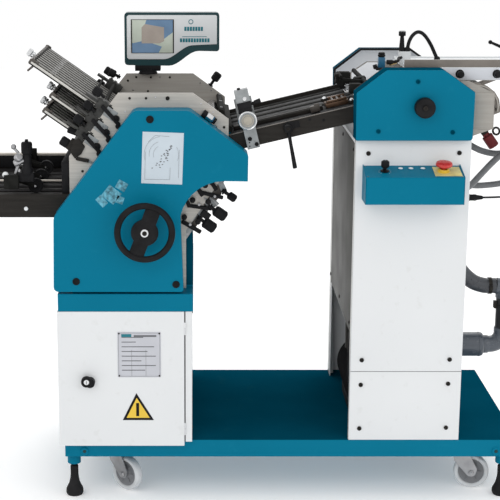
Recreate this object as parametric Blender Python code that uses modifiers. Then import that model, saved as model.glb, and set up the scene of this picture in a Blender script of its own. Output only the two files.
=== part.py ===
"""Buckle-plate paper folding machine with a suction sheet feeder.

Metres, +Z up.  X runs from the delivery end (left) to the feeder end (right), Y runs from the
operator's side to the back.  Everything hangs from one empty, "machine", so that the frame's
origin is on the floor under the middle of the whole object.
"""
import bpy
import bmesh
from math import atan2, cos, pi, radians, sin
from mathutils import Matrix, Vector

# ---------------------------------------------------------------- driving dimensions
MACHINE_SHIFT = (-0.2339, -0.339, 0.0)  # puts the middle of the object's footprint at the origin
GAP = 0.0003                            # clearance kept between pieces that touch

DECK_X = (-0.447, 1.110)                # base pan, left and right
DECK_Y = (0.0, 0.776)                   # base pan, front and back
DECK_TOP = 0.2145
DECK_SKIRT = 0.0615
DECK_SHEET = 0.004

FOOT_X = (-0.420, 1.068)
FOOT_Y = (0.042, 0.734)
FOOT_STEM_RADIUS = 0.008

CASTER_X = (-0.268, 0.934)
CASTER_Y = (0.105, 0.671)
CASTER_TURN = {(0, 0): -40, (1, 0): -8, (0, 1): 25, (1, 1): 158}
WHEEL_RADIUS = 0.0615
WHEEL_WIDTH = 0.032
WHEEL_LIFT = 0.002
CASTER_TRAIL = 0.040
CASTER_PLATE_BOTTOM = 0.1540

CABINET_X = (-0.459, -0.010)
CABINET_TOP = 0.678
CABINET_DEPTH = 0.700
DOOR_X = (-0.463, -0.036)
DOOR_Z = (0.201, 0.6775)
DOOR_THICKNESS = 0.018
DOOR_HINGE = (-0.036, -0.022)
LOCK_AT = (-0.363, 0.438)

STAND_X = (-0.459, -0.006)
STAND_TOP = 0.739

PLATE_FRONT_Y = (0.055, 0.067)
PLATE_REAR_Y = (0.651, 0.663)
COVER_FRONT_Y = (-0.030, 0.0547)
COVER_REAR_Y = (0.6633, 0.745)
COVER_SHEET = 0.0025

HANDWHEEL_AT = (-0.164, 0.963)
HANDWHEEL_Y = -0.090
HANDWHEEL_RADIUS = 0.100
SHAFT_RADIUS = 0.010
BORE_ROOM = 0.001                       # radial room between a shaft and its bore

FOLD_TILT = radians(35.0)               # fold plates rise at this angle towards the delivery end
ROLLER_RADIUS = 0.019
FOLD_ROLLERS = {"fold_roller_1": 0.147, "fold_roller_2": 0.203, "feed_roller": 0.395}
PLATE_BOTTOM = (0.105, 0.1595, 0.214)   # height of each fold plate along the roller row
PLATE_LENGTH = (0.490, 0.499, 0.6166)
PLATE_MOUTH = 0.030
PLATE_Y = (0.100, 0.620)
PLATE_THICKNESS = 0.016
STOP_REST = 0.070                       # the stop bar's distance from the plate's outer end
SPINDLE_UP = 0.008                      # the stop spindle's height in its fold plate
SPINDLE_RADIUS = 0.0025
SPINDLE_Y = 0.275

TABLE_TILT = radians(13.4)
TABLE_LEFT = (0.1125, 1.262)            # top of the infeed table's left end
TABLE_LENGTH = 0.455
RAIL_HEIGHT = 0.055
SIDE_LAY_ALONG = 0.0705                 # the side lay's place from the table's left end
SIDE_LAY_DIAL_UP = 0.036
CLAMP_LEVER_AT = (0.306, 0.055, 1.285)

FEEDER_X = (0.527, 0.905)
FEEDER_TOP = 1.2525
FEEDER_DEPTH = 0.775
FEEDER_WALL = 0.0025
DRUM_AT = (0.740, 1.366)
DRUM_RADIUS = 0.050
LOADING_TABLE_TOP = 1.458
LOADING_TABLE_RIGHT = 1.390
PUMP_AT = (0.636, 0.400)

DELIVERY_LEFT = -0.930
DELIVERY_RAIL_Z = (0.984, 1.063)
BELT_TOP = 1.050

BOX_X = (0.550, 0.871)
BOX_Z = (1.058, 1.147, 1.170)           # bottom, top of the front face, top at the back
BOX_DEPTH = 0.100
BOX_SLOPE = atan2(BOX_Z[2] - BOX_Z[1], BOX_DEPTH)
ESTOP_X = 0.808
SPEED_X = 0.617

# ---------------------------------------------------------------- scene set-up
for leftover in list(bpy.data.objects):
    bpy.data.objects.remove(leftover, do_unlink=True)

parts = bpy.data.collections.new("paper_folding_machine")
cutters = bpy.data.collections.new("cutters")
bpy.context.scene.collection.children.link(parts)
bpy.context.scene.collection.children.link(cutters)

machine = bpy.data.objects.new("machine", None)
machine.location = MACHINE_SHIFT
parts.objects.link(machine)


def material(name, colour, roughness, metallic=0.0):
    """A Principled material with one colour and finish."""
    made = bpy.data.materials.new(name)
    made.use_nodes = True
    shader = made.node_tree.nodes["Principled BSDF"]
    shader.inputs["Base Color"].default_value = (*colour, 1.0)
    shader.inputs["Roughness"].default_value = roughness
    shader.inputs["Metallic"].default_value = metallic
    made.diffuse_color = (*colour, 1.0)
    return made


TEAL = material("teal_paint", (0.0, 0.155, 0.235), 0.35)
WHITE = material("white_paint", (0.78, 0.80, 0.81), 0.40)
ALUMINIUM = material("milled_aluminium", (0.56, 0.54, 0.51), 0.38, 1.0)
DARK_STEEL = material("blackened_steel", (0.05, 0.047, 0.045), 0.42, 0.6)
STEEL = material("bright_steel", (0.62, 0.62, 0.63), 0.22, 1.0)
BLACK = material("black_plastic", (0.012, 0.012, 0.014), 0.45)
RUBBER = material("black_rubber", (0.018, 0.018, 0.018), 0.75)
TYRE = material("grey_tyre", (0.36, 0.37, 0.38), 0.60)
RED = material("red_plastic", (0.48, 0.02, 0.02), 0.35)
HOSE = material("grey_hose", (0.13, 0.14, 0.15), 0.50)
PVC = material("grey_pvc", (0.20, 0.23, 0.27), 0.35)
BEZEL = material("display_housing", (0.02, 0.10, 0.11), 0.40)


# ---------------------------------------------------------------- shapes
def to_mesh(obj):
    """Turn an object with modifiers, or a curve, into a plain closed mesh, and remove it."""
    evaluated = obj.evaluated_get(bpy.context.evaluated_depsgraph_get())
    mesh = bpy.data.meshes.new_from_object(evaluated)
    bpy.data.objects.remove(obj, do_unlink=True)
    shape = bmesh.new()
    shape.from_mesh(mesh)
    bmesh.ops.remove_doubles(shape, verts=shape.verts, dist=1e-6)
    bmesh.ops.recalc_face_normals(shape, faces=shape.faces)
    shape.to_mesh(mesh)
    shape.free()
    return mesh


def box(low, high):
    """A block between two corners."""
    size = [b - a for a, b in zip(low, high)]
    middle = [(a + b) / 2 for a, b in zip(low, high)]
    shape = bmesh.new()
    bmesh.ops.create_cube(shape, size=1.0, matrix=Matrix.Translation(middle) @ Matrix.Diagonal((*size, 1.0)))
    mesh = bpy.data.meshes.new("block")
    shape.to_mesh(mesh)
    shape.free()
    return mesh


def rod(start, end, radius, sides=20, end_radius=None):
    """A round bar, or a cone, from one point to another."""
    start, end = Vector(start), Vector(end)
    run = end - start
    place = Matrix.Translation((start + end) / 2) @ run.to_track_quat("Z", "Y").to_matrix().to_4x4()
    shape = bmesh.new()
    bmesh.ops.create_cone(shape, cap_ends=True, segments=sides, radius1=radius,
                          radius2=radius if end_radius is None else end_radius,
                          depth=run.length, matrix=place)
    mesh = bpy.data.meshes.new("rod")
    shape.to_mesh(mesh)
    shape.free()
    return mesh


def turned(profile, steps=32, axis="Z"):
    """Spin a profile of (radius, height) points, outer side first from the top, about an axis."""
    mesh = bpy.data.meshes.new("turned")
    spots = [(radius, 0.0, height) for radius, height in profile]
    mesh.from_pydata(spots, [(i, i + 1) for i in range(len(spots) - 1)], [])
    obj = bpy.data.objects.new("turned", mesh)
    cutters.objects.link(obj)
    screw = obj.modifiers.new("spin", "SCREW")
    screw.steps = steps
    screw.render_steps = steps
    screw.use_merge_vertices = True
    screw.merge_threshold = 0.00001
    made = to_mesh(obj)
    if axis == "Y":
        made.transform(Matrix.Rotation(pi / 2, 4, "X"))
    return made


def rounded(corners, steps=3):
    """An outline whose corners, given as (x, z, radius), are turned into arcs."""
    outline = []
    for index, (x, z, radius) in enumerate(corners):
        here = Vector((x, z))
        if radius == 0:
            outline.append((x, z))
            continue
        before = (Vector(corners[index - 1][:2]) - here).normalized()
        after = (Vector(corners[(index + 1) % len(corners)][:2]) - here).normalized()
        half = before.angle(after) / 2
        centre = here + (before + after).normalized() * radius / sin(half)
        first = here + before * radius * cos(half) / sin(half) - centre
        last = here + after * radius * cos(half) / sin(half) - centre
        sweep = first.angle_signed(last)
        for step in range(steps + 1):
            turn = -sweep * step / steps
            outline.append((centre.x + first.x * cos(turn) - first.y * sin(turn),
                            centre.y + first.x * sin(turn) + first.y * cos(turn)))
    return outline


def slab(outline, front, back, holes=()):
    """An upright plate with a flat outline in X and Z, from one Y to another."""
    curve = bpy.data.curves.new("outline", "CURVE")
    curve.dimensions = "2D"
    curve.fill_mode = "BOTH"
    curve.extrude = (back - front) / 2
    for ring in (outline, *holes):
        spline = curve.splines.new("POLY")
        spline.points.add(len(ring) - 1)
        spline.use_cyclic_u = True
        for spot, (x, z) in zip(spline.points, ring):
            spot.co = (x, z, 0.0, 1.0)
    obj = bpy.data.objects.new("outline", curve)
    cutters.objects.link(obj)
    mesh = to_mesh(obj)
    mesh.transform(Matrix.Translation((0, (front + back) / 2, 0)) @ Matrix.Rotation(pi / 2, 4, "X"))
    return mesh


def circle(centre, radius, sides=14):
    """Points round a hole in an outline."""
    return [(centre[0] + radius * cos(2 * pi * k / sides), centre[1] + radius * sin(2 * pi * k / sides))
            for k in range(sides)]


def shell(solid, open_side, thickness):
    """Open a solid on the side that faces a direction, and leave walls of one thickness."""
    shape = bmesh.new()
    shape.from_mesh(solid)
    gone = [face for face in shape.faces if face.normal.dot(Vector(open_side)) > 0.99]
    bmesh.ops.delete(shape, geom=gone, context="FACES")
    shape.to_mesh(solid)
    shape.free()
    obj = bpy.data.objects.new("shell", solid)
    cutters.objects.link(obj)
    wall = obj.modifiers.new("wall", "SOLIDIFY")
    wall.thickness = thickness
    wall.offset = -1.0
    wall.use_even_offset = True
    return to_mesh(obj)


def smooth_route(points, spacing):
    """Points at an even spacing along a smooth curve through a hose's own points."""
    spots = [Vector(point) for point in points]
    dense = []
    for index in range(len(spots) - 1):
        before = spots[max(index - 1, 0)]
        start, end = spots[index], spots[index + 1]
        after = spots[min(index + 2, len(spots) - 1)]
        for step in range(24):
            t = step / 24
            dense.append(0.5 * (2 * start + (end - before) * t
                                + (2 * before - 5 * start + 4 * end - after) * t * t
                                + (3 * start - before - 3 * end + after) * t ** 3))
    dense.append(spots[-1])
    length = sum((b - a).length for a, b in zip(dense, dense[1:]))
    count = max(round(length / spacing), 4)
    route, gone, wanted = [dense[0]], 0.0, length / count
    for a, b in zip(dense, dense[1:]):
        gone += (b - a).length
        if gone >= wanted - 1e-9 and len(route) < count:
            route.append(b)
            wanted += length / count
    return [*route, dense[-1]]


# ---------------------------------------------------------------- nodes
def helper(mesh, owner, kind, operation):
    """A hidden shape that is joined to, or cut from, a part that owns it."""
    tool = bpy.data.objects.new(f"{owner.name}_{kind}", mesh)
    tool.parent = owner
    tool.hide_render = True
    tool.display_type = "WIRE"
    cutters.objects.link(tool)
    change = owner.modifiers.new(kind, "BOOLEAN")
    change.operation = operation
    change.solver = "EXACT"
    change.object = tool


def node(name, finish, body, adds=(), cuts=(), at=(0, 0, 0), tilt=(0, 0, 0), bevel=0.0):
    """One piece of the machine, drawn about its own origin."""
    obj = bpy.data.objects.new(name, body)
    obj.data.materials.append(finish)
    obj.parent = machine
    obj.location = at
    obj.rotation_euler = tilt
    parts.objects.link(obj)
    if bevel:
        edge = obj.modifiers.new("edges", "BEVEL")
        edge.width = bevel
        edge.segments = 1
        edge.limit_method = "ANGLE"
        edge.angle_limit = radians(50)
    for mesh in adds:
        helper(mesh, obj, "add", "UNION")
    for mesh in cuts:
        helper(mesh, obj, "cut", "DIFFERENCE")


def hose(name, finish, points, radius, resolution=3):
    """A flexible tube along a smooth route."""
    curve = bpy.data.curves.new(name, "CURVE")
    curve.dimensions = "3D"
    curve.bevel_depth = radius
    curve.bevel_resolution = resolution
    curve.use_fill_caps = True
    route = [points[0], *smooth_route(points[1:-1], radius * 6), points[-1]]
    spline = curve.splines.new("POLY")
    spline.points.add(len(route) - 1)
    for spot, place in zip(spline.points, route):
        spot.co = (*place, 1.0)
    curve.materials.append(finish)
    obj = bpy.data.objects.new(name, curve)
    obj.parent = machine
    parts.objects.link(obj)


def row_point(along, across=0.0):
    """A point of the fold head: along the roller row, and across it towards the feeder."""
    x = HANDWHEEL_AT[0] + sin(FOLD_TILT) * along + cos(FOLD_TILT) * across
    z = HANDWHEEL_AT[1] + cos(FOLD_TILT) * along - sin(FOLD_TILT) * across
    return x, z


# ---------------------------------------------------------------- base, feet and casters
def make_base():
    """The floor pan: a deck with turned-down edges, cross channels, caster plates and foot sockets."""
    pan = shell(box((DECK_X[0], DECK_Y[0], DECK_TOP - DECK_SKIRT), (DECK_X[1], DECK_Y[1], DECK_TOP)),
                (0, 0, -1), DECK_SHEET)
    inside = DECK_SHEET / 2
    adds = []
    for x in CASTER_X:
        adds.append(box((x - 0.055, DECK_Y[0] + inside, CASTER_PLATE_BOTTOM),
                        (x + 0.055, DECK_Y[1] - inside, DECK_TOP - inside)))
    cuts = []
    for x in FOOT_X:
        for y in FOOT_Y:
            adds.append(rod((x, y, 0.118), (x, y, DECK_TOP - inside), 0.023, 18))
            cuts.append(rod((x, y, 0.110), (x, y, 0.205), FOOT_STEM_RADIUS + 0.002, 12))
    for x in CASTER_X:
        cuts.append(box((x - 0.050, 0.180, CASTER_PLATE_BOTTOM - 0.01), (x + 0.050, 0.596, DECK_TOP - 0.006)))
    node("base_frame", TEAL, pan, adds, cuts, bevel=0.0015)


def make_foot(name, x, y):
    """A levelling foot: rubber bell pad on a threaded stem inside its socket."""
    profile = [(0.0, 0.178), (FOOT_STEM_RADIUS, 0.178), (FOOT_STEM_RADIUS, 0.107), (0.013, 0.106),
               (0.014, 0.060), (0.026, 0.028), (0.030, 0.018), (0.030, 0.006), (0.027, 0.0), (0.0, 0.0)]
    node(name, RUBBER, turned(profile, 14), at=(x, y, 0.0))


def make_caster(place, x, y, turn):
    """A swivel caster: fork on a bearing head, and a tyred wheel on its axle."""
    axle_z = WHEEL_RADIUS + WHEEL_LIFT
    top = CASTER_PLATE_BOTTOM - GAP
    cheek = rounded([(-0.028, 0.076, 0), (0.028, 0.076, 0), (0.060, 0.012, 0.010),
                     (0.052, -0.014, 0.012), (0.030, -0.014, 0.012), (-0.020, 0.040, 0)], 2)
    cheeks = []
    for side in (-1, 1):
        near = side * 0.0215
        mesh = slab(cheek, min(near, near + side * 0.003), max(near, near + side * 0.003))
        mesh.transform(Matrix.Translation((0, 0, axle_z)))
        cheeks.append(mesh)
    crown = box((-0.028, -0.0245, axle_z + 0.068), (0.028, 0.0245, axle_z + 0.076))
    head = rod((0, 0, axle_z + 0.072), (0, 0, top), 0.030, 16)
    axle = rod((CASTER_TRAIL, -0.030, axle_z), (CASTER_TRAIL, 0.030, axle_z), 0.006, 10)
    node(f"caster_fork_{place}", STEEL, crown, [head, *cheeks, axle], at=(x, y, 0.0), tilt=(0, 0, turn))
    half = WHEEL_WIDTH / 2
    profile = [(0.0066, half + 0.003), (0.015, half + 0.003), (0.042, half - 0.003), (0.055, half - 0.001),
               (WHEEL_RADIUS, half - 0.009), (WHEEL_RADIUS, -half + 0.009), (0.055, -half + 0.001),
               (0.042, -half + 0.003), (0.015, -half - 0.003), (0.0066, -half - 0.003),
               (0.0066, half + 0.003)]
    hub = (x + CASTER_TRAIL * cos(turn), y + CASTER_TRAIL * sin(turn), axle_z)
    node(f"caster_wheel_{place}", TYRE, turned(profile, 20, "Y"), at=hub, tilt=(0, 0, turn))


def make_running_gear():
    """Four feet and four casters."""
    names = {(0, 0): "front_left", (1, 0): "front_right", (0, 1): "rear_left", (1, 1): "rear_right"}
    for (i, j), place in names.items():
        make_foot(f"levelling_foot_{place}", FOOT_X[i], FOOT_Y[j])
        make_caster(place, CASTER_X[i], CASTER_Y[j], radians(CASTER_TURN[(i, j)]))


# ---------------------------------------------------------------- electrical cabinet
def make_cabinet():
    """The sheet-metal cabinet under the fold head, open at the front behind its door."""
    body = shell(box((CABINET_X[0], 0.0, DECK_TOP + GAP), (CABINET_X[1], CABINET_DEPTH, CABINET_TOP - GAP)),
                 (0, -1, 0), FEEDER_WALL)
    jamb = box((DOOR_X[1] + 0.004, -0.018, DECK_TOP + GAP), (CABINET_X[1], 0.004, CABINET_TOP - GAP))
    node("electrical_cabinet", WHITE, body, [jamb], bevel=0.001)


def make_door():
    """The cabinet door, a shallow tray on its hinge line at the right edge."""
    width = DOOR_X[1] - DOOR_X[0]
    tray = shell(box((-width, 0.0, DOOR_Z[0]), (0.0, DOOR_THICKNESS, DOOR_Z[1])), (0, 1, 0), 0.002)
    lock_x = LOCK_AT[0] - DOOR_HINGE[0]
    hole = rod((lock_x, -0.01, LOCK_AT[1]), (lock_x, 0.01, LOCK_AT[1]), 0.0115, 16)
    node("cabinet_door", WHITE, tray, cuts=[hole], at=(*DOOR_HINGE, 0.0), bevel=0.001)


def make_lock():
    """The quarter-turn lock: grip, barrel through the door, and its cam behind."""
    grip = rod((0, -0.032, 0), (0, -GAP, 0), 0.019, 24)
    barrel = rod((0, -0.001, 0), (0, 0.0155, 0), 0.0105, 16)
    cam = box((-0.009, 0.0110, -0.028), (0.009, 0.0140, 0.009))
    node("door_lock", BLACK, grip, [barrel, cam], at=(LOCK_AT[0], DOOR_HINGE[1], LOCK_AT[1]))


# ---------------------------------------------------------------- fold head
def make_stand():
    """The painted stand between the cabinet and the side plates, with the inner guard on top."""
    tray = shell(box((STAND_X[0], -0.022, CABINET_TOP), (STAND_X[1], 0.745, STAND_TOP)), (0, 0, -1), 0.004)
    guard = slab(rounded([(-0.060, STAND_TOP - 0.002, 0), (-0.060, 0.932, 0.004), (-0.007, 0.932, 0.014),
                          (-0.007, STAND_TOP - 0.002, 0)]), 0.080, 0.640)
    node("stand_frame", TEAL, tray, [guard], bevel=0.0015)


def side_plate_outline():
    """The outline that both side plates share."""
    base = STAND_TOP + GAP
    return [(-0.418, base), (-0.418, 1.191), (-0.253, 1.401), (-0.007, 1.401), (0.111, 1.315),
            (0.111, 1.200), (0.098, 1.130), (-0.030, 0.940), (-0.030, base)]


def roller_bores():
    """Bores through the side plates for the shafts that turn in them."""
    spots = [HANDWHEEL_AT, *(row_point(along) for along in FOLD_ROLLERS.values())]
    return [circle(spot, SHAFT_RADIUS + BORE_ROOM) for spot in spots]


def make_side_plates():
    """Two milled plates that carry every roller and fold plate."""
    for name, (front, back) in (("side_plate_front", PLATE_FRONT_Y), ("side_plate_rear", PLATE_REAR_Y)):
        node(name, ALUMINIUM, slab(side_plate_outline(), front, back, roller_bores()))


def cover_outline():
    """The outline of the fold head's covers, with the round clearance for the lower deflectors."""
    centre, radius = (0.096, 0.976), 0.147
    clearance = [(centre[0] + radius * cos(a), centre[1] + radius * sin(a))
                 for a in (radians(92 + 88 * k / 8) for k in range(9))]
    clearance = [(x, z) for x, z in clearance if x > -0.0505]
    start = rounded([(-0.042, 0.748, 0.012), (-0.471, 0.748, 0.016), (-0.466, 1.001, 0.030),
                     (-0.200, 1.354, 0.030), (-0.017, 1.354, 0.030), (0.174, 1.210, 0.016),
                     (0.173, 1.123, 0.006)])
    return start + clearance


def make_covers():
    """The painted covers outside the two side plates."""
    shaft_hole = circle(HANDWHEEL_AT, 0.026, 20)
    front = shell(slab(cover_outline(), *COVER_FRONT_Y), (0, 1, 0), COVER_SHEET)
    opening = slab(shaft_hole, COVER_FRONT_Y[0] - 0.01, COVER_FRONT_Y[0] + 0.01)
    node("front_cover", TEAL, front, cuts=[opening], bevel=0.0012)
    rear = shell(slab(cover_outline(), *COVER_REAR_Y), (0, -1, 0), COVER_SHEET)
    node("rear_cover", TEAL, rear, bevel=0.0012)


def make_handwheel():
    """The handwheel: round rim, web bar and hub on the drive shaft's front end."""
    rim = turned([(HANDWHEEL_RADIUS - 0.011 + 0.011 * cos(2 * pi * k / 8), -0.011 * sin(2 * pi * k / 8))
                  for k in range(9)], 28, "Y")
    hub = rod((0, -0.012, 0), (0, 0.040, 0), 0.034, 20)
    web = box((-0.022, -0.004, -HANDWHEEL_RADIUS + 0.012), (0.022, 0.004, HANDWHEEL_RADIUS - 0.012))
    web.transform(Matrix.Rotation(radians(21), 4, "Y"))
    bore = rod((0, 0.020, 0), (0, 0.060, 0), SHAFT_RADIUS + GAP, 14)
    node("handwheel", BLACK, rim, [web, hub], [bore], at=(HANDWHEEL_AT[0], HANDWHEEL_Y, HANDWHEEL_AT[1]))


def make_rollers():
    """Steel rollers whose journals turn in the side plates."""
    barrel_y = (PLATE_FRONT_Y[1] + 0.004, PLATE_REAR_Y[0] - 0.004)
    for name, along in FOLD_ROLLERS.items():
        x, z = row_point(along)
        barrel = rod((0, barrel_y[0], 0), (0, barrel_y[1], 0), ROLLER_RADIUS, 20)
        journal = rod((0, PLATE_FRONT_Y[0] + 0.001, 0), (0, PLATE_REAR_Y[1] - 0.001, 0), SHAFT_RADIUS, 14)
        node(name, STEEL, barrel, [journal], at=(x, 0.0, z))
    drive = rod((0, barrel_y[0], 0), (0, barrel_y[1], 0), ROLLER_RADIUS, 20)
    shaft = rod((0, HANDWHEEL_Y + 0.020 + GAP, 0), (0, PLATE_REAR_Y[1] + 0.050, 0), SHAFT_RADIUS, 14)
    pulley = rod((0, PLATE_REAR_Y[1] + 0.018, 0), (0, PLATE_REAR_Y[1] + 0.042, 0), 0.036, 24)
    node("drive_roller", STEEL, drive, [shaft, pulley], at=(HANDWHEEL_AT[0], 0.0, HANDWHEEL_AT[1]))


def make_fold_plate(index, bottom, length):
    """A fold plate: a long grille of bars between two rails, its mouth at the roller row."""
    x, z = row_point(bottom)
    front, back = PLATE_Y
    outer, inner = -length, -PLATE_MOUTH
    rail = 0.012
    body = box((outer, front, 0.0), (inner, front + rail, PLATE_THICKNESS))
    adds = [box((outer, back - rail, 0.0), (inner, back, PLATE_THICKNESS)),
            box((outer, front + 0.004, 0.0), (outer + 0.010, back - 0.004, PLATE_THICKNESS)),
            box((inner - 0.030, front + 0.004, 0.0), (inner, back - 0.004, 0.005)),
            box((inner - 0.030, front + 0.004, 0.011), (inner, back - 0.004, PLATE_THICKNESS))]
    bars = 6
    pitch = (back - front - 2 * rail) / (bars + 1)
    for k in range(1, bars + 1):
        y = front + rail + pitch * k
        for low, high in ((0.0, 0.0035), (0.0125, PLATE_THICKNESS)):
            adds.append(box((outer + 0.004, y - 0.006, low), (inner - 0.010, y + 0.006, high)))
    way = rod((outer - 0.004, SPINDLE_Y, SPINDLE_UP), (outer + 0.014, SPINDLE_Y, SPINDLE_UP),
              SPINDLE_RADIUS + BORE_ROOM, 12)
    node(f"fold_plate_{index}", ALUMINIUM, body, adds, [way], at=(x, 0.0, z), tilt=(0, FOLD_TILT, 0))
    stop_x = outer + STOP_REST
    stop = box((stop_x, front + rail + 0.001, 0.0045), (stop_x + 0.014, back - rail - 0.001, 0.0115))
    hole = rod((stop_x - 0.004, SPINDLE_Y, SPINDLE_UP), (stop_x + 0.018, SPINDLE_Y, SPINDLE_UP),
               SPINDLE_RADIUS + 0.0004, 12)
    node(f"plate_stop_{index}", ALUMINIUM, stop, cuts=[hole], at=(x, 0.0, z), tilt=(0, FOLD_TILT, 0))
    knob = rod((-0.034, 0, 0), (-0.008, 0, 0), 0.014, 18)
    collar = rod((-0.010, 0, 0), (-GAP, 0, 0), 0.008, 14)
    spindle = rod((-0.010, 0, 0), (length - 0.130, 0, 0), SPINDLE_RADIUS, 10)
    knob_x, knob_z = row_point(bottom + SPINDLE_UP, outer)
    node(f"stop_knob_{index}", STEEL, knob, [collar, spindle],
         at=(knob_x, SPINDLE_Y, knob_z), tilt=(0, FOLD_TILT, 0))


def make_deflectors():
    """Three short deflectors below the roller row, on one cross tie, with their clamp blocks."""
    tie = box((0.052, 0.074, 0.030), (0.064, 0.644, 0.235))
    adds = []
    for along in (0.047, 0.103, 0.159):
        adds.append(box((0.040, 0.110, along), (0.118, 0.610, along + 0.012)))
    for y in (0.112, 0.590):
        adds.append(box((0.050, y, 0.028), (0.096, y + 0.018, 0.214)))
    x, z = row_point(0.0)
    node("lower_deflectors", DARK_STEEL, tie, adds, at=(x, 0.0, z), tilt=(0, FOLD_TILT, 0))


# ---------------------------------------------------------------- display
def display_outline():
    """The display housing, deep on the screen side and swept up to a shallow wing."""
    left, right, top, low, wing = -0.085, 0.262, 0.193, 0.0, 0.054
    sweep = [(0.077 + 0.110 * k / 8, wing * (0.5 - 0.5 * cos(pi * k / 8))) for k in range(9)]
    corners = [(right, wing, 0.010), (right, top, 0.012), (left, top, 0.012), (left, low, 0.012)]
    return rounded(corners) + sweep


def make_display():
    """The operator display on its swivel foot."""
    housing = slab(display_outline(), -0.022, 0.030)
    flange = box((-0.047, -0.021, -0.019), (0.046, 0.029, 0.002))
    foot = rod((0, 0.0, -0.0305), (0, 0.0, -0.015), 0.028, 24)
    node("display_panel", BEZEL, housing, [flange, foot], at=(-0.173, 0.652, 1.4318), bevel=0.002)


# ---------------------------------------------------------------- delivery
def make_delivery():
    """The delivery bed: two rails, a bed plate and the nose bar at its free end."""
    right = -0.4183
    low, high = DELIVERY_RAIL_Z
    rail = rounded([(right, low, 0), (right, high, 0), (DELIVERY_LEFT, high, 0.010),
                    (DELIVERY_LEFT, low, 0.010)], 3)
    front = slab(rail, *PLATE_FRONT_Y)
    rear = slab([(x, z if z < 1.02 else z + 0.040) for x, z in rail], *PLATE_REAR_Y)
    bed = box((DELIVERY_LEFT + 0.020, 0.060, BELT_TOP - 0.012), (right - 0.002, 0.658, BELT_TOP - 0.004))
    nose_x = DELIVERY_LEFT + 0.028
    nose = rod((nose_x, 0.060, BELT_TOP - 0.022), (nose_x, 0.658, BELT_TOP - 0.022), 0.018, 20)
    tie = rod((-0.640, 0.060, 1.000), (-0.640, 0.658, 1.000), 0.009, 12)
    node("delivery_frame", DARK_STEEL, front, [rear, bed, nose, tie], bevel=0.0008)


def make_press_wheel():
    """A free wheel that presses the folded sheets on the delivery belt."""
    profile = [(0.0045, 0.009), (0.024, 0.009), (0.025, 0.008), (0.025, -0.008), (0.024, -0.009),
               (0.0045, -0.009), (0.0045, 0.009)]
    node("press_wheel", RUBBER, turned(profile, 20, "Y"), at=(-0.541, 0.150, BELT_TOP + 0.0255))


# ---------------------------------------------------------------- infeed table
def table_point(along, up=0.0):
    """A point along the sloping infeed table, measured from its left end."""
    x = TABLE_LEFT[0] + cos(TABLE_TILT) * along - sin(TABLE_TILT) * up
    z = TABLE_LEFT[1] + sin(TABLE_TILT) * along + cos(TABLE_TILT) * up
    return x, z


def make_infeed_table():
    """The register table between the feeder and the fold head."""
    rail_front = box((0.0, 0.055, -RAIL_HEIGHT), (TABLE_LENGTH, 0.067, 0.0))
    rail_rear = box((0.0, 0.651, -RAIL_HEIGHT), (TABLE_LENGTH, 0.663, 0.0))
    board = box((0.006, 0.060, -0.020), (TABLE_LENGTH, 0.656, -0.014))
    tie = box((0.200, 0.060, -0.045), (0.230, 0.656, -0.018))
    node("infeed_table", DARK_STEEL, rail_front, [rail_rear, board, tie],
         at=(TABLE_LEFT[0], 0.0, TABLE_LEFT[1]), tilt=(0, -TABLE_TILT, 0), bevel=0.0008)


def make_side_lay():
    """The side lay: clamp bracket outside the front rail, head block, and the lay plate on its bar."""
    x, z = table_point(SIDE_LAY_ALONG)
    bracket = box((-0.021, 0.040, -0.060), (0.021, 0.0547, 0.075))
    block = box((-0.023, 0.030, 0.069), (0.023, 0.080, 0.112))
    bar = rod((0.0, 0.070, 0.080), (0.0, 0.215, 0.080), 0.006, 12)
    lay = box((-0.030, 0.200, 0.010), (0.030, 0.206, 0.092))
    node("side_lay", ALUMINIUM, bracket, [block, bar, lay], at=(x, 0.0, z), tilt=(0, -TABLE_TILT, 0),
         bevel=0.001)
    dial = rod((0, -0.013, 0), (0, -GAP, 0), 0.031, 32)
    dx, dz = table_point(SIDE_LAY_ALONG, SIDE_LAY_DIAL_UP)
    node("side_lay_dial", STEEL, dial, at=(dx, 0.040, dz), tilt=(0, -TABLE_TILT, 0))


def make_clamp_lever():
    """The lever that clamps the table at its height, hanging from its hub."""
    hub = rod((0, -0.024, 0), (0, -GAP, 0), 0.014, 20)
    arm = rod((0.001, -0.014, -0.005), (0.026, -0.014, -0.135), 0.006, 14, 0.0075)
    node("clamp_lever", BLACK, hub, [arm], at=CLAMP_LEVER_AT)


# ---------------------------------------------------------------- feeder
def make_feeder_cabinet():
    """The feeder's cabinet, with the open bay for the pump low on its left side."""
    x0, x1 = FEEDER_X
    body = shell(box((x0, 0.0, DECK_TOP + GAP), (x1, FEEDER_DEPTH, FEEDER_TOP)), (0, 0, -1), FEEDER_WALL)
    bay = slab([(0.030, DECK_TOP - 0.02), (0.700, DECK_TOP - 0.02), (0.700, 0.588), (0.030, 0.586)],
               -0.02, 0.02)
    bay.transform(Matrix.Translation((x0, 0, 0)) @ Matrix.Rotation(pi / 2, 4, "Z"))
    lead_x, *lead_yz = CABLE_ROUTE[0]
    gland = rod((x1 - 0.0015, *lead_yz), (lead_x - GAP, *lead_yz), 0.0100, 14)
    node("feeder_cabinet", WHITE, body, [gland], [bay], bevel=0.001)


def feeder_cover_outline():
    """The outline of the two covers beside the suction drum."""
    return rounded([(0.523, FEEDER_TOP + 0.004, 0.004), (0.521, 1.411, 0.008), (0.617, 1.485, 0.014),
                    (0.801, 1.485, 0.014), (0.904, 1.413, 0.008), (0.902, FEEDER_TOP + 0.004, 0.010)], 3)


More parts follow.
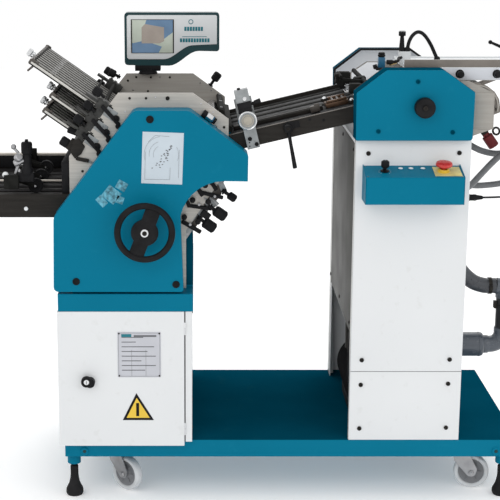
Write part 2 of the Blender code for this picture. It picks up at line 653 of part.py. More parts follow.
def make_feeder_covers():
    """The painted covers outside the feeder's side plates."""
    front = shell(slab(feeder_cover_outline(), -0.030, 0.0542), (0, 1, 0), COVER_SHEET)
    opening = rod((DRUM_AT[0], -0.04, DRUM_AT[1]), (DRUM_AT[0], -0.01, DRUM_AT[1]), 0.014, 18)
    node("feeder_front_cover", TEAL, front, cuts=[opening], bevel=0.0012)
    rear = shell(slab(feeder_cover_outline(), 0.7123, 0.780), (0, -1, 0), COVER_SHEET)
    node("feeder_rear_cover", TEAL, rear, bevel=0.0012)


def make_feeder_frame():
    """The feeder's two side plates, joined by ties, with the curved sheet guide at the turn."""
    low = FEEDER_TOP + GAP
    outline = [(0.580, low), (0.580, 1.400), (0.640, 1.440), (0.900, 1.440), (0.985, 1.400), (0.985, 1.283),
               (0.900, low)]
    bore = [circle(DRUM_AT, SHAFT_RADIUS + BORE_ROOM)]
    front = slab(outline, 0.0545, 0.0665, bore)
    rear = slab(outline, 0.700, 0.712, bore)
    ties = [box((0.700, 0.060, low), (0.780, 0.706, low + 0.008)),
            box((0.860, 0.060, 1.400), (0.890, 0.706, 1.440))]
    centre, inner, outer = (0.925, 1.352), 0.072, 0.076
    arc = [radians(90 - 100 * k / 10) for k in range(11)]
    guide = slab([(centre[0] + outer * cos(a), centre[1] + outer * sin(a)) for a in arc]
                 + [(centre[0] + inner * cos(a), centre[1] + inner * sin(a)) for a in reversed(arc)],
                 0.0600, 0.7060)
    node("feeder_frame", ALUMINIUM, front, [rear, *ties, guide])


def make_suction_drum():
    """The suction drum on its shaft, turned by the round knob outside the cover."""
    drum = turned([(0.0, 0.16), (DRUM_RADIUS, 0.16), (DRUM_RADIUS, -0.16), (0.0, -0.16)], 28, "Y")
    drum.transform(Matrix.Translation((0, 0.390, 0)))
    shaft = rod((0, -0.032, 0), (0, 0.7085, 0), SHAFT_RADIUS, 14)
    knob = rod((0, -0.068, 0), (0, -0.0315, 0), 0.033, 28)
    node("suction_drum", STEEL, drum, [shaft, knob], at=(DRUM_AT[0], 0.0, DRUM_AT[1]))


def make_feeder_table():
    """The loading table above the feeder: board, front beam, rear beam and its two carriers."""
    board = box((0.735, 0.094, LOADING_TABLE_TOP - 0.010), (LOADING_TABLE_RIGHT, 0.668, LOADING_TABLE_TOP))
    front = box((0.800, 0.084, 1.4403), (LOADING_TABLE_RIGHT, 0.100, 1.482))
    rear = box((0.735, 0.660, 1.4403), (LOADING_TABLE_RIGHT, 0.678, 1.462))
    nose_x = LOADING_TABLE_RIGHT - 0.004
    nose = rod((nose_x, 0.090, 1.450), (nose_x, 0.672, 1.450), 0.012, 18)
    block = box((0.728, 0.484, 1.452), (0.769, 0.516, 1.497))
    stem = rod((0.7385, 0.500, 1.490), (0.7385, 0.500, 1.556), 0.0095, 14, 0.0060)
    cap = rod((0.7385, 0.500, 1.552), (0.7385, 0.500, 1.568), 0.0120, 14)
    node("feeder_table", ALUMINIUM, board, [front, rear, nose, block, stem, cap])


def make_pump():
    """The vacuum pump in the cabinet: ribbed body, end bells and a foot block."""
    ribs = [(0.0, 0.19), (0.060, 0.19), (0.085, 0.165), (0.085, 0.150)]
    for k in range(5):
        top = 0.145 - k * 0.056
        ribs += [(0.100, top), (0.100, top - 0.026), (0.086, top - 0.030), (0.086, top - 0.052)]
    ribs += [(0.085, -0.150), (0.060, -0.180), (0.0, -0.180)]
    body = turned(ribs, 20, "Y")
    foot = box((-0.080, -0.120, -0.1195), (0.080, 0.120, -0.070))
    node("vacuum_pump", BLACK, body, [foot], at=(*PUMP_AT, DECK_TOP + GAP + 0.1195))


# ---------------------------------------------------------------- control box
def make_control_box():
    """The control box on the feeder's front, with its sloping top."""
    front, back = -BOX_DEPTH, -GAP
    profile = [(front, BOX_Z[0]), (back, BOX_Z[0]), (back, BOX_Z[2]), (front, BOX_Z[1])]
    solid = slab(profile, BOX_X[0], BOX_X[1])
    solid.transform(Matrix.Rotation(pi / 2, 4, "Z") @ Matrix.Scale(-1, 4, (0, 1, 0)))
    flip = bmesh.new()
    flip.from_mesh(solid)
    bmesh.ops.recalc_face_normals(flip, faces=flip.faces)
    flip.to_mesh(solid)
    flip.free()
    casing = shell(solid, (0, 1, 0), 0.002)
    cuts = []
    for x, radius in ((ESTOP_X, 0.011), (SPEED_X, 0.004)):
        cuts.append(rod((x, -0.050, 1.120), (x, -0.050, 1.190), radius, 16))
    node("control_box", TEAL, casing, cuts=cuts, bevel=0.001)


def box_top(y):
    """The height of the box's sloping top at a depth."""
    return BOX_Z[1] + (y + BOX_DEPTH) * (BOX_Z[2] - BOX_Z[1]) / BOX_DEPTH


def make_controls():
    """The emergency stop, which pushes in, and the speed knob, which turns."""
    cap = turned([(0.0, 0.034), (0.022, 0.034), (0.0275, 0.028), (0.0275, 0.022), (0.018, 0.018),
                  (0.009, 0.014), (0.009, -0.020), (0.0, -0.020)], 20)
    node("estop_button", RED, cap, at=(ESTOP_X, -0.050, box_top(-0.050)), tilt=(BOX_SLOPE, 0, 0))
    knob = turned([(0.0, 0.0375), (0.0105, 0.0375), (0.0130, 0.034), (0.0135, 0.016), (0.0060, 0.014),
                   (0.0060, 0.004), (0.0145, 0.003), (0.0145, 0.001), (0.0029, 0.001), (0.0029, -0.012),
                   (0.0, -0.012)], 20)
    node("speed_knob", BLACK, knob, at=(SPEED_X, -0.050, box_top(-0.050)), tilt=(BOX_SLOPE, 0, 0))


# ---------------------------------------------------------------- hoses
WALL = FEEDER_X[1] + GAP
SUCTION_ROUTE = [(WALL, 0.350, 0.757), (0.920, 0.350, 0.757), (0.945, 0.350, 0.738), (0.972, 0.350, 0.708),
                 (1.003, 0.350, 0.684), (1.039, 0.350, 0.672), (1.0610, 0.350, 0.671), (1.0825, 0.350, 0.671)]
AIR_ROUTES = {
    "air_hose_1": [(WALL, 0.300, 1.205), (0.917, 0.300, 1.205), (0.950, 0.300, 1.194),
                   (1.000, 0.300, 1.170), (1.060, 0.300, 1.160), (1.140, 0.300, 1.176),
                   (1.205, 0.300, 1.240), (1.235, 0.300, 1.340), (1.235, 0.300, 1.4477)],
    "air_hose_2": [(WALL, 0.230, 1.040), (0.917, 0.230, 1.040), (0.950, 0.230, 1.058),
                   (0.980, 0.230, 1.091), (1.020, 0.230, 1.136), (1.064, 0.230, 1.180),
                   (1.120, 0.230, 1.238), (1.152, 0.230, 1.330), (1.152, 0.230, 1.4477)],
    "air_hose_3": [(WALL, 0.370, 1.040), (0.917, 0.370, 1.040), (0.950, 0.370, 1.038),
                   (1.020, 0.370, 1.034), (1.120, 0.370, 1.050), (1.220, 0.370, 1.100),
                   (1.290, 0.370, 1.190), (1.310, 0.370, 1.330), (1.310, 0.370, 1.4477)],
}
CABLE_ROUTE = [(0.941, 0.080, 1.047), (0.965, 0.080, 1.047), (1.040, 0.088, 1.048), (1.140, 0.112, 1.052),
               (1.250, 0.170, 1.085), (1.325, 0.235, 1.160), (1.355, 0.285, 1.270), (1.355, 0.300, 1.360),
               (1.355, 0.300, 1.4477)]
TOP_ROUTE = [(0.7585, 0.500, 1.4973), (0.7585, 0.500, 1.504), (0.764, 0.502, 1.530), (0.777, 0.506, 1.553),
             (0.797, 0.512, 1.564), (0.820, 0.520, 1.553), (0.845, 0.530, 1.520), (0.866, 0.540, 1.480),
             (0.873, 0.543, 1.466), (0.873, 0.543, 1.4583)]


def make_return_pipe():
    """The rigid pipe between the suction hose and the coupling in the cabinet's wall."""
    y, low, top = 0.350, 0.4515, 0.671
    down_x = 1.1145
    coupling = rod((WALL, y, low), (1.044, y, low), 0.0435, 24)
    reducer = rod((1.040, y, low), (1.070, y, low), 0.029, 24)
    elbow_low = [rod((1.066, y, low), (1.094, y, 0.457), 0.0310, 18),
                 rod((1.089, y, 0.455), (1.111, y, 0.475), 0.0305, 18),
                 rod((1.108, y, 0.470), (1.1150, y, 0.500), 0.0300, 18)]
    riser = rod((down_x, y, 0.490), (down_x, y, 0.642), 0.026, 16)
    elbow_top = [rod((1.1150, y, 0.630), (1.1135, y, 0.653), 0.0290, 18),
                 rod((1.1125, y, 0.649), (1.1045, y, 0.657), 0.0295, 18),
                 rod((1.112, y, top), (1.0832, y, top), 0.0310, 18)]
    clamp = box((1.079, y - 0.012, 0.588), (1.098, y + 0.012, 0.614))
    node("return_pipe", PVC, coupling, [reducer, *elbow_low, riser, *elbow_top, clamp])


def make_hoses():
    """The suction hose, the air hoses under the loading table, the top hose and the sensor lead."""
    hose("suction_hose", HOSE, SUCTION_ROUTE, 0.0275, 3)
    for name, route in AIR_ROUTES.items():
        hose(name, HOSE, route, 0.011, 2)
    hose("top_air_hose", RUBBER, TOP_ROUTE, 0.0065, 2)
    hose("sensor_cable", RUBBER, CABLE_ROUTE, 0.0035, 2)


# ---------------------------------------------------------------- the whole machine
make_base()
make_running_gear()
make_cabinet()
make_door()
make_lock()
make_stand()
make_side_plates()
make_covers()
make_handwheel()
make_rollers()
for number, (bottom, length) in enumerate(zip(reversed(PLATE_BOTTOM), reversed(PLATE_LENGTH)), 1):
    make_fold_plate(number, bottom, length)
make_deflectors()
make_display()
make_delivery()
make_press_wheel()
make_infeed_table()
make_side_lay()
make_clamp_lever()
make_feeder_cabinet()
make_feeder_covers()
make_feeder_frame()
make_suction_drum()
make_feeder_table()
make_pump()
make_control_box()
make_controls()
make_return_pipe()
make_hoses()
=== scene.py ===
"""The look of the paper folding machine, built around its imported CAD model.

Detail is placed in the machine's own frame: X from the delivery end, Y from the front of the floor
pan, Z from the floor.  SHIFT, read from a CAD node's box, takes it to the row frame.
"""
from math import acos, cos, pi, radians, sin

import bmesh
import bpy
from mathutils import Matrix, Vector, noise


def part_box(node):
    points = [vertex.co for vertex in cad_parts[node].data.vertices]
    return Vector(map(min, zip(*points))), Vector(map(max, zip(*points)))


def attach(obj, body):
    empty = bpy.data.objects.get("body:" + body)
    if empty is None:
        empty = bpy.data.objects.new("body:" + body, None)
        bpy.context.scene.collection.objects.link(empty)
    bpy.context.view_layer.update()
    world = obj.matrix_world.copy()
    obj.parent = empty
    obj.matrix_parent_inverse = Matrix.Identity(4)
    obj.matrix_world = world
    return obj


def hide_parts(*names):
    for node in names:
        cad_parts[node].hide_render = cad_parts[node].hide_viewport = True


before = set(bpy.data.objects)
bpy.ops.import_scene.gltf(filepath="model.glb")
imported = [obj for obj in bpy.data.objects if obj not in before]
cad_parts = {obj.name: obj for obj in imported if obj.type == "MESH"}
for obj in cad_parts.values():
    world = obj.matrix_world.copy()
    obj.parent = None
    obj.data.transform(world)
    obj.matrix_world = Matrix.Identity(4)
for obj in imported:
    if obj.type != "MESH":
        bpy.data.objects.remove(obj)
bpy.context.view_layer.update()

# ---------------------------------------------------------------- the machine's own frame
FEEDER_X = (0.527, 0.905)
DECK_TOP = 0.2145
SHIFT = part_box("feeder_cabinet")[0] - Vector((FEEDER_X[0], 0.0, DECK_TOP + 0.0003))
FOLD_TILT = radians(35.0)
TABLE_TILT = radians(13.4)
HANDWHEEL_AT = (-0.164, 0.963)
DRUM_AT = (0.74, 1.366)
COVER_FACE = -0.03
PRESS_ROWS = (0.15, 0.33, 0.51)
BELT_TOP = 1.05
PLACES = ("front_left", "front_right", "rear_left", "rear_right")
CASTER_SPOTS = ((-0.268, 0.105, -40), (0.934, 0.105, -8), (-0.268, 0.671, 25), (0.934, 0.671, 158))
FOOT_SPOTS = ((-0.42, 0.042), (1.068, 0.042), (-0.42, 0.734), (1.068, 0.734))
PLATE_ROWS = ((0.214, 0.6166), (0.1595, 0.499), (0.105, 0.49))
HANGER_ROWS = (0.224, 0.168, 0.112)
BOX_SLOPE = acos(0.1 / Vector((0.1, 0.023)).length)
X, Y, Z = Vector((1, 0, 0)), Vector((0, 1, 0)), Vector((0, 0, 1))


def row_point(along, across=0):
    """A point of the fold head in X and Z: along the row of rollers, and across it."""
    return (HANDWHEEL_AT[0] + sin(FOLD_TILT) * along + cos(FOLD_TILT) * across,
            HANDWHEEL_AT[1] + cos(FOLD_TILT) * along - sin(FOLD_TILT) * across)


def row_frame(along):
    """A frame on the row of rollers: X runs down a fold plate to its mouth, Z is square to it."""
    x, z = row_point(along)
    return Matrix.Translation((x, 0, z)) @ Matrix.Rotation(FOLD_TILT, 4, "Y")


TABLE = Matrix.Translation((0.1125, 0, 1.262)) @ Matrix.Rotation(-TABLE_TILT, 4, "Y")


# ---------------------------------------------------------------- camera and light
def make_camera():
    """The camera, level across, looking a little down on the machine from the operator's side."""
    lens = bpy.data.cameras.new("camera")
    lens.sensor_width = 36.0
    lens.lens = 102.3
    lens.shift_x = 0.11
    lens.clip_end = 60.0
    camera = bpy.data.objects.new("camera", lens)
    camera.location = Vector((0, -4.6045, 1.967)) + SHIFT
    camera.rotation_euler = (radians(90 - 13.227), 0, 0)
    bpy.context.scene.collection.objects.link(camera)
    bpy.context.scene.camera = camera


def make_light(name, place, target, size, power, colour=(1.0, 1.0, 1.0)):
    """A large soft lamp that looks at a point."""
    lamp = bpy.data.lights.new(name, "AREA")
    lamp.shape = "RECTANGLE"
    lamp.size, lamp.size_y = size
    lamp.energy = power
    lamp.color = colour
    obj = bpy.data.objects.new(name, lamp)
    obj.location = place
    obj.rotation_euler = (Vector(target) - Vector(place)).to_track_quat("-Z", "Y").to_euler()
    bpy.context.scene.collection.objects.link(obj)


def make_studio():
    """A pale floor, a bright even surround and three soft lamps."""
    world = bpy.data.worlds.new("studio")
    world.use_nodes = True
    world.node_tree.nodes["Background"].inputs["Color"].default_value = (1.0, 1.0, 1.0, 1.0)
    world.node_tree.nodes["Background"].inputs["Strength"].default_value = 1.0
    bpy.context.scene.world = world
    bpy.context.scene.view_settings.view_transform = "Standard"
    make_light("key", (-2.6, -4.2, 3.8), (0, 0, 0.8), (2.6, 2.0), 26)
    make_light("fill", (3.4, -3.4, 2.6), (0.2, 0, 0.8), (2.4, 2.4), 12)
    make_light("back", (0.5, 3.6, 3.6), (0, 0, 0.9), (3.0, 2.0), 26)
    shape = bmesh.new()
    bmesh.ops.create_circle(shape, cap_ends=True, radius=14.0, segments=64)
    mesh = bpy.data.meshes.new("floor")
    shape.to_mesh(mesh)
    shape.free()
    floor = bpy.data.objects.new("floor", mesh)
    floor.location = (0, 0, -0.0005)
    bpy.context.scene.collection.objects.link(floor)
    floor.data.materials.append(finish("studio_floor", (0.93, 0.93, 0.93), 0.9, mottle=(0.4, 0.01),
                                       glow=0.22))


# ---------------------------------------------------------------- materials
def finish(name, colour, roughness, metallic=0, mottle=(5.0, 0.06), stretch=(1, 1, 1), spread=0.06,
           bump=(0, 0), scuff=None, coat=0, glow=0, shine=0.5):
    """A procedural finish: mottled colour, uneven gloss, fine relief and, where worn, scuffs."""
    made = bpy.data.materials.new(name)
    made.use_nodes = True
    tree = made.node_tree
    nodes, links = tree.nodes, tree.links
    shader = nodes["Principled BSDF"]
    shader.inputs["Metallic"].default_value = metallic
    shader.inputs["Coat Weight"].default_value = coat
    shader.inputs["Specular IOR Level"].default_value = shine
    place = nodes.new("ShaderNodeTexCoord")
    scale = nodes.new("ShaderNodeMapping")
    scale.inputs["Scale"].default_value = stretch
    links.new(place.outputs["Object"], scale.inputs["Vector"])

    def cloud(size, detail=4.0):
        """A noise pattern with features of one metre divided by size."""
        pattern = nodes.new("ShaderNodeTexNoise")
        pattern.inputs["Scale"].default_value = size
        pattern.inputs["Detail"].default_value = detail
        links.new(scale.outputs["Vector"], pattern.inputs["Vector"])
        return pattern.outputs["Fac"]

    def ranged(value, low, high):
        """Stretch the middle of a noise pattern to a range."""
        change = nodes.new("ShaderNodeMapRange")
        change.inputs["From Min"].default_value = 0.3
        change.inputs["From Max"].default_value = 0.7
        change.inputs["To Min"].default_value = low
        change.inputs["To Max"].default_value = high
        links.new(value, change.inputs["Value"])
        return change.outputs["Result"]

    def mixed(share, first, second):
        """One colour into another."""
        blend = nodes.new("ShaderNodeMix")
        blend.data_type = "RGBA"
        links.new(share, blend.inputs["Factor"])
        for socket, value in ((blend.inputs["A"], first), (blend.inputs["B"], second)):
            if isinstance(value, tuple):
                socket.default_value = (*value, 1.0)
            else:
                links.new(value, socket)
        return blend.outputs["Result"]

    dark = tuple(c * (1 - mottle[1]) for c in colour)
    light = tuple(min(c * (1 + mottle[1]) + 0.01 * mottle[1], 1.0) for c in colour)
    shade = mixed(ranged(cloud(mottle[0]), 0, 1.0), dark, light)
    if scuff:
        tint, size, amount = scuff
        worn = nodes.new("ShaderNodeMapRange")
        worn.inputs["From Min"].default_value = 0.62
        worn.inputs["From Max"].default_value = 0.72
        worn.inputs["To Max"].default_value = amount
        links.new(cloud(size, 8.0), worn.inputs["Value"])
        shade = mixed(worn.outputs["Result"], shade, tint)
    links.new(shade, shader.inputs["Base Color"])
    links.new(ranged(cloud(mottle[0] * 3.1, 6.0), max(roughness - spread, 0.04),
                     min(roughness + spread, 1.0)), shader.inputs["Roughness"])
    if bump[1]:
        relief = nodes.new("ShaderNodeBump")
        relief.inputs["Strength"].default_value = bump[1]
        relief.inputs["Distance"].default_value = 0.0006
        links.new(cloud(bump[0], 2.0), relief.inputs["Height"])
        links.new(relief.outputs["Normal"], shader.inputs["Normal"])
    if glow:
        links.new(shade, shader.inputs["Emission Color"])
        shader.inputs["Emission Strength"].default_value = glow
    return made


M = {
    "teal": finish("teal_powder_coat", (0, 0.152, 0.25), 0.42, mottle=(2.2, 0.05), bump=(900, 0.1),
                   scuff=((0.01, 0.2, 0.3), 34.0, 0.12), shine=0.06),
    "faded": finish("faded_print", (0.08, 0.27, 0.355), 0.45, mottle=(110.0, 0.6), bump=(900, 0.1),
                    shine=0.3),
    "deck": finish("teal_deck_coat", (0, 0.056, 0.096), 0.5, mottle=(3.0, 0.12), bump=(700, 0.12),
                   scuff=((0.01, 0.07, 0.1), 20.0, 0.3), shine=0),
    "white": finish("white_powder_coat", (0.7, 0.715, 0.725), 0.4, mottle=(1.6, 0.02), bump=(850, 0.08),
                    scuff=((0.52, 0.52, 0.5), 26.0, 0.18), shine=0.3),
    "plate": finish("milled_plate", (0.46, 0.435, 0.4), 0.46, 0.35, mottle=(6.0, 0.1),
                    stretch=(1, 6, 30), spread=0.1, bump=(60, 0.12)),
    # Painted shade: a darker, duller copy of the milled plate for the rear side plate, which stands in
    # shadow; the feeder frame and the feeder's corner plate share it.
    "plate_painted_shade": finish("milled_plate_painted_shade", (0.34, 0.32, 0.29), 0.52, 0.2, mottle=(5.0, 0.07),
                         stretch=(1, 6, 30), spread=0.1, bump=(60, 0.12)),
    "aluminium": finish("satin_aluminium", (0.52, 0.52, 0.51), 0.36, 0.8, mottle=(9.0, 0.1),
                        stretch=(2, 24, 24), spread=0.1, bump=(40, 0.1)),
    "steel": finish("bright_steel", (0.46, 0.46, 0.47), 0.22, 1.0, mottle=(14.0, 0.12),
                    stretch=(10, 1, 10), spread=0.07, bump=(90, 0.05)),
    "zinc": finish("zinc_steel", (0.37, 0.37, 0.38), 0.38, 0.8, mottle=(26.0, 0.16), spread=0.08,
                   bump=(90, 0.08)),
    "bar": finish("oiled_bar", (0.235, 0.23, 0.215), 0.48, mottle=(9.0, 0.25), stretch=(2, 12, 12),
                  spread=0.1, bump=(60, 0.08), shine=0.15),
    "rod": finish("polished_rod", (0.52, 0.51, 0.48), 0.36, 0.6, mottle=(14.0, 0.06), spread=0.06),
    "graphite": finish("graphite_casting", (0.036, 0.036, 0.034), 0.5, mottle=(24.0, 0.5), spread=0.1,
                       bump=(200, 0.12), shine=0.25),
    "worn_steel": finish("worn_steel", (0.265, 0.28, 0.285), 0.46, 0.25, mottle=(34.0, 0.16), spread=0.1,
                         bump=(90, 0.1), scuff=((0.12, 0.13, 0.13), 60.0, 0.5)),
    "umber": finish("umber_casting", (0.07, 0.06, 0.052), 0.48, 0.2, mottle=(30.0, 0.22), spread=0.1,
                    bump=(200, 0.12)),
    "chrome": finish("chromed_steel", (0.66, 0.67, 0.68), 0.14, 1.0, mottle=(20.0, 0.08), spread=0.05),
    "black_steel": finish("blackened_steel", (0.02, 0.018, 0.016), 0.54, 0, mottle=(7.0, 0.22),
                          stretch=(1, 8, 12), spread=0.1, bump=(120, 0.1),
                          scuff=((0.075, 0.065, 0.055), 30.0, 0.3), shine=0.1),
    "black": finish("black_plastic", (0.009, 0.009, 0.01), 0.54, mottle=(18.0, 0.25), spread=0.1,
                    bump=(1400, 0.15), shine=0.1),
    "soot": finish("soot_black", (0.014, 0.014, 0.013), 0.62, mottle=(26.0, 0.3), bump=(500, 0.15),
                   shine=0.02),
    "knob": finish("black_knob", (0.006, 0.006, 0.007), 0.5, mottle=(30.0, 0.3), spread=0.08,
                   bump=(1800, 0.2), shine=0.14),
    "rubber": finish("black_rubber", (0.012, 0.012, 0.013), 0.72, mottle=(22.0, 0.2), spread=0.08,
                     bump=(1100, 0.25), shine=0.14),
    "belt": finish("woven_belt", (0.011, 0.01, 0.011), 0.74, mottle=(60.0, 0.3), stretch=(1, 3, 1),
                   bump=(1500, 0.5), shine=0.12),
    "tyre": finish("grey_tyre", (0.58, 0.595, 0.61), 0.52, mottle=(16.0, 0.06), bump=(600, 0.12),
                   scuff=((0.22, 0.21, 0.2), 60.0, 0.4), shine=0.3),
    "hub": finish("wheel_hub", (0.18, 0.185, 0.195), 0.42, mottle=(20.0, 0.08), bump=(900, 0.08),
                  shine=0.3),
    "red": finish("red_plastic", (0.5, 0.02, 0.015), 0.28, mottle=(14.0, 0.06), spread=0.05, coat=0.2),
    "bowl": finish("red_bowl", (0.105, 0.008, 0.01), 0.34, mottle=(14.0, 0.25), spread=0.08,
                   bump=(300, 0.1), shine=0.2),
    "yellow": finish("yellow_plastic", (0.74, 0.5, 0.05), 0.36, mottle=(14.0, 0.05), bump=(1200, 0.06),
                     shine=0.35),
    "blue": finish("blue_plastic", (0.01, 0.11, 0.215), 0.36, mottle=(14.0, 0.08), bump=(1200, 0.06)),
    "hose": finish("hose_pvc", (0.14, 0.146, 0.152), 0.38, mottle=(30.0, 0.1), spread=0.09,
                   bump=(420, 0.12), shine=0.4),
    "suction": finish("suction_hose_pvc", (0.046, 0.05, 0.058), 0.32, mottle=(24.0, 0.15), spread=0.08,
                      bump=(420, 0.12), shine=0.45),
    "dark_hose": finish("dark_hose", (0.016, 0.017, 0.019), 0.36, mottle=(30.0, 0.2), spread=0.09,
                        bump=(420, 0.12), shine=0.25),
    "pvc": finish("pipe_pvc", (0.066, 0.078, 0.096), 0.24, mottle=(10.0, 0.08), spread=0.06,
                  bump=(500, 0.05), shine=0.6),
    "bezel": finish("display_housing", (0, 0.034, 0.04), 0.36, mottle=(10.0, 0.08), bump=(1100, 0.1),
                    shine=0.35),
    "label": finish("printed_film", (0.7, 0.72, 0.73), 0.42, mottle=(8.0, 0.03), spread=0.05, shine=0.3),
    "silver": finish("etched_plate", (0.5, 0.51, 0.55), 0.4, 0.3, mottle=(8.0, 0.05), spread=0.08),
    # Painted light: the pale lining glows, which brightens the covers' inner faces where they stand in
    # shade.
    "lining": finish("pale_lining_painted_light", (0.62, 0.635, 0.66), 0.5, mottle=(3.0, 0.06), bump=(600, 0.06),
                     glow=0.42, shine=0.2),
    "pale_yellow": finish("pale_yellow_plate", (0.6, 0.52, 0.2), 0.4, mottle=(26.0, 0.22),
                          bump=(600, 0.06)),
    "ink": finish("grey_ink", (0.14, 0.145, 0.155), 0.5, mottle=(40.0, 0.15), shine=0.2),
    "teal_ink": finish("teal_ink", (0.02, 0.17, 0.21), 0.5, mottle=(40.0, 0.08), shine=0.2),
    "paper": finish("paper_sheet", (0.5, 0.565, 0.62), 0.55, mottle=(12.0, 0.04), bump=(60, 0.15),
                    shine=0.2),
    "screen_pale": finish("screen_pale", (0.5, 0.55, 0.47), 0.16, mottle=(30.0, 0.05), glow=0.04),
    "screen_blue": finish("screen_blue", (0.12, 0.22, 0.36), 0.16, mottle=(30.0, 0.08), glow=0.04),
    "screen_sand": finish("screen_sand", (0.36, 0.31, 0.27), 0.16, mottle=(30.0, 0.06), glow=0.04),
    "grey_panel": finish("grey_side_panel", (0.078, 0.076, 0.068), 0.5, mottle=(2.5, 0.15),
                         bump=(600, 0.06), shine=0.1),
    "pale_panel": finish("pale_inner_panel", (0.6, 0.62, 0.66), 0.45, mottle=(3.0, 0.05), bump=(600, 0.06),
                         shine=0.3),
    "beige": finish("beige_guide", (0.185, 0.165, 0.145), 0.42, 0.3, mottle=(5.0, 0.12), stretch=(3, 12, 3),
                    bump=(90, 0.1)),
    "brass": finish("brass_fitting", (0.5, 0.34, 0.12), 0.3, 1.0, mottle=(20.0, 0.12)),
    "copper": finish("copper_rail", (0.13, 0.075, 0.045), 0.4, 0.6, mottle=(12.0, 0.25)),
    "old_ivory": finish("old_ivory", (0.37, 0.34, 0.285), 0.46, 0.2, mottle=(40.0, 0.14), bump=(300, 0.1),
                        shine=0.3),
    "cream": finish("cream_edge", (0.6, 0.56, 0.5), 0.42, 0.4, mottle=(14.0, 0.1), stretch=(1, 14, 14)),
}


def paint_cad():
    """Give every CAD node its own detailed finish."""
    looks = {
        "teal": ("stand_frame", "front_cover", "rear_cover", "feeder_front_cover", "feeder_rear_cover",
                 "control_box", "base_frame"),
        "white": ("electrical_cabinet", "cabinet_door", "feeder_cabinet"),
        "plate": ("side_plate_front",),
        # The rear side plate takes the darker copy of the plate finish: painted shade.
        "plate_painted_shade": ("side_plate_rear", "feeder_frame"),
        "label": ("feeder_table",),
        "worn_steel": ("side_lay",),
        "aluminium": ("plate_stop_1", "plate_stop_2", "plate_stop_3"),
        "black_steel": ("delivery_frame", "infeed_table", "lower_deflectors"),
        "zinc": tuple(f"caster_fork_{place}" for place in PLACES),
        "bezel": ("display_panel",),
        "black": ("clamp_lever", "vacuum_pump"),
    }
    for look, names in looks.items():
        for name in names:
            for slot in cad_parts[name].material_slots:
                slot.material = M[look]


# ---------------------------------------------------------------- shapes
def aim(direction):
    """The turn that takes +Z to a direction."""
    return Vector(direction).to_track_quat("Z", "Y").to_matrix().to_4x4()


def smooth_route(points, steps=10):
    """A smooth curve through points, finely divided."""
    spots = [Vector(point) for point in points]
    dense = []
    for index in range(len(spots) - 1):
        before, start = spots[max(index - 1, 0)], spots[index]
        end, after = spots[index + 1], spots[min(index + 2, len(spots) - 1)]
        for step in range(steps):
            t = step / steps
            dense.append(0.5 * (2 * start + (end - before) * t
                                + (2 * before - 5 * start + 4 * end - after) * t * t
                                + (3 * start - before - 3 * end + after) * t ** 3))
    return [*dense, spots[-1]]


def close_skin(shape, rings):
    """Join rings of corners, one after another, and close both ends."""
    for lower, upper in zip(rings, rings[1:]):
        for k in range(len(lower)):
            n = (k + 1) % len(lower)
            shape.faces.new((lower[k], lower[n], upper[n], upper[k]))
    shape.faces.new(reversed(rings[0]))
    shape.faces.new(rings[-1])


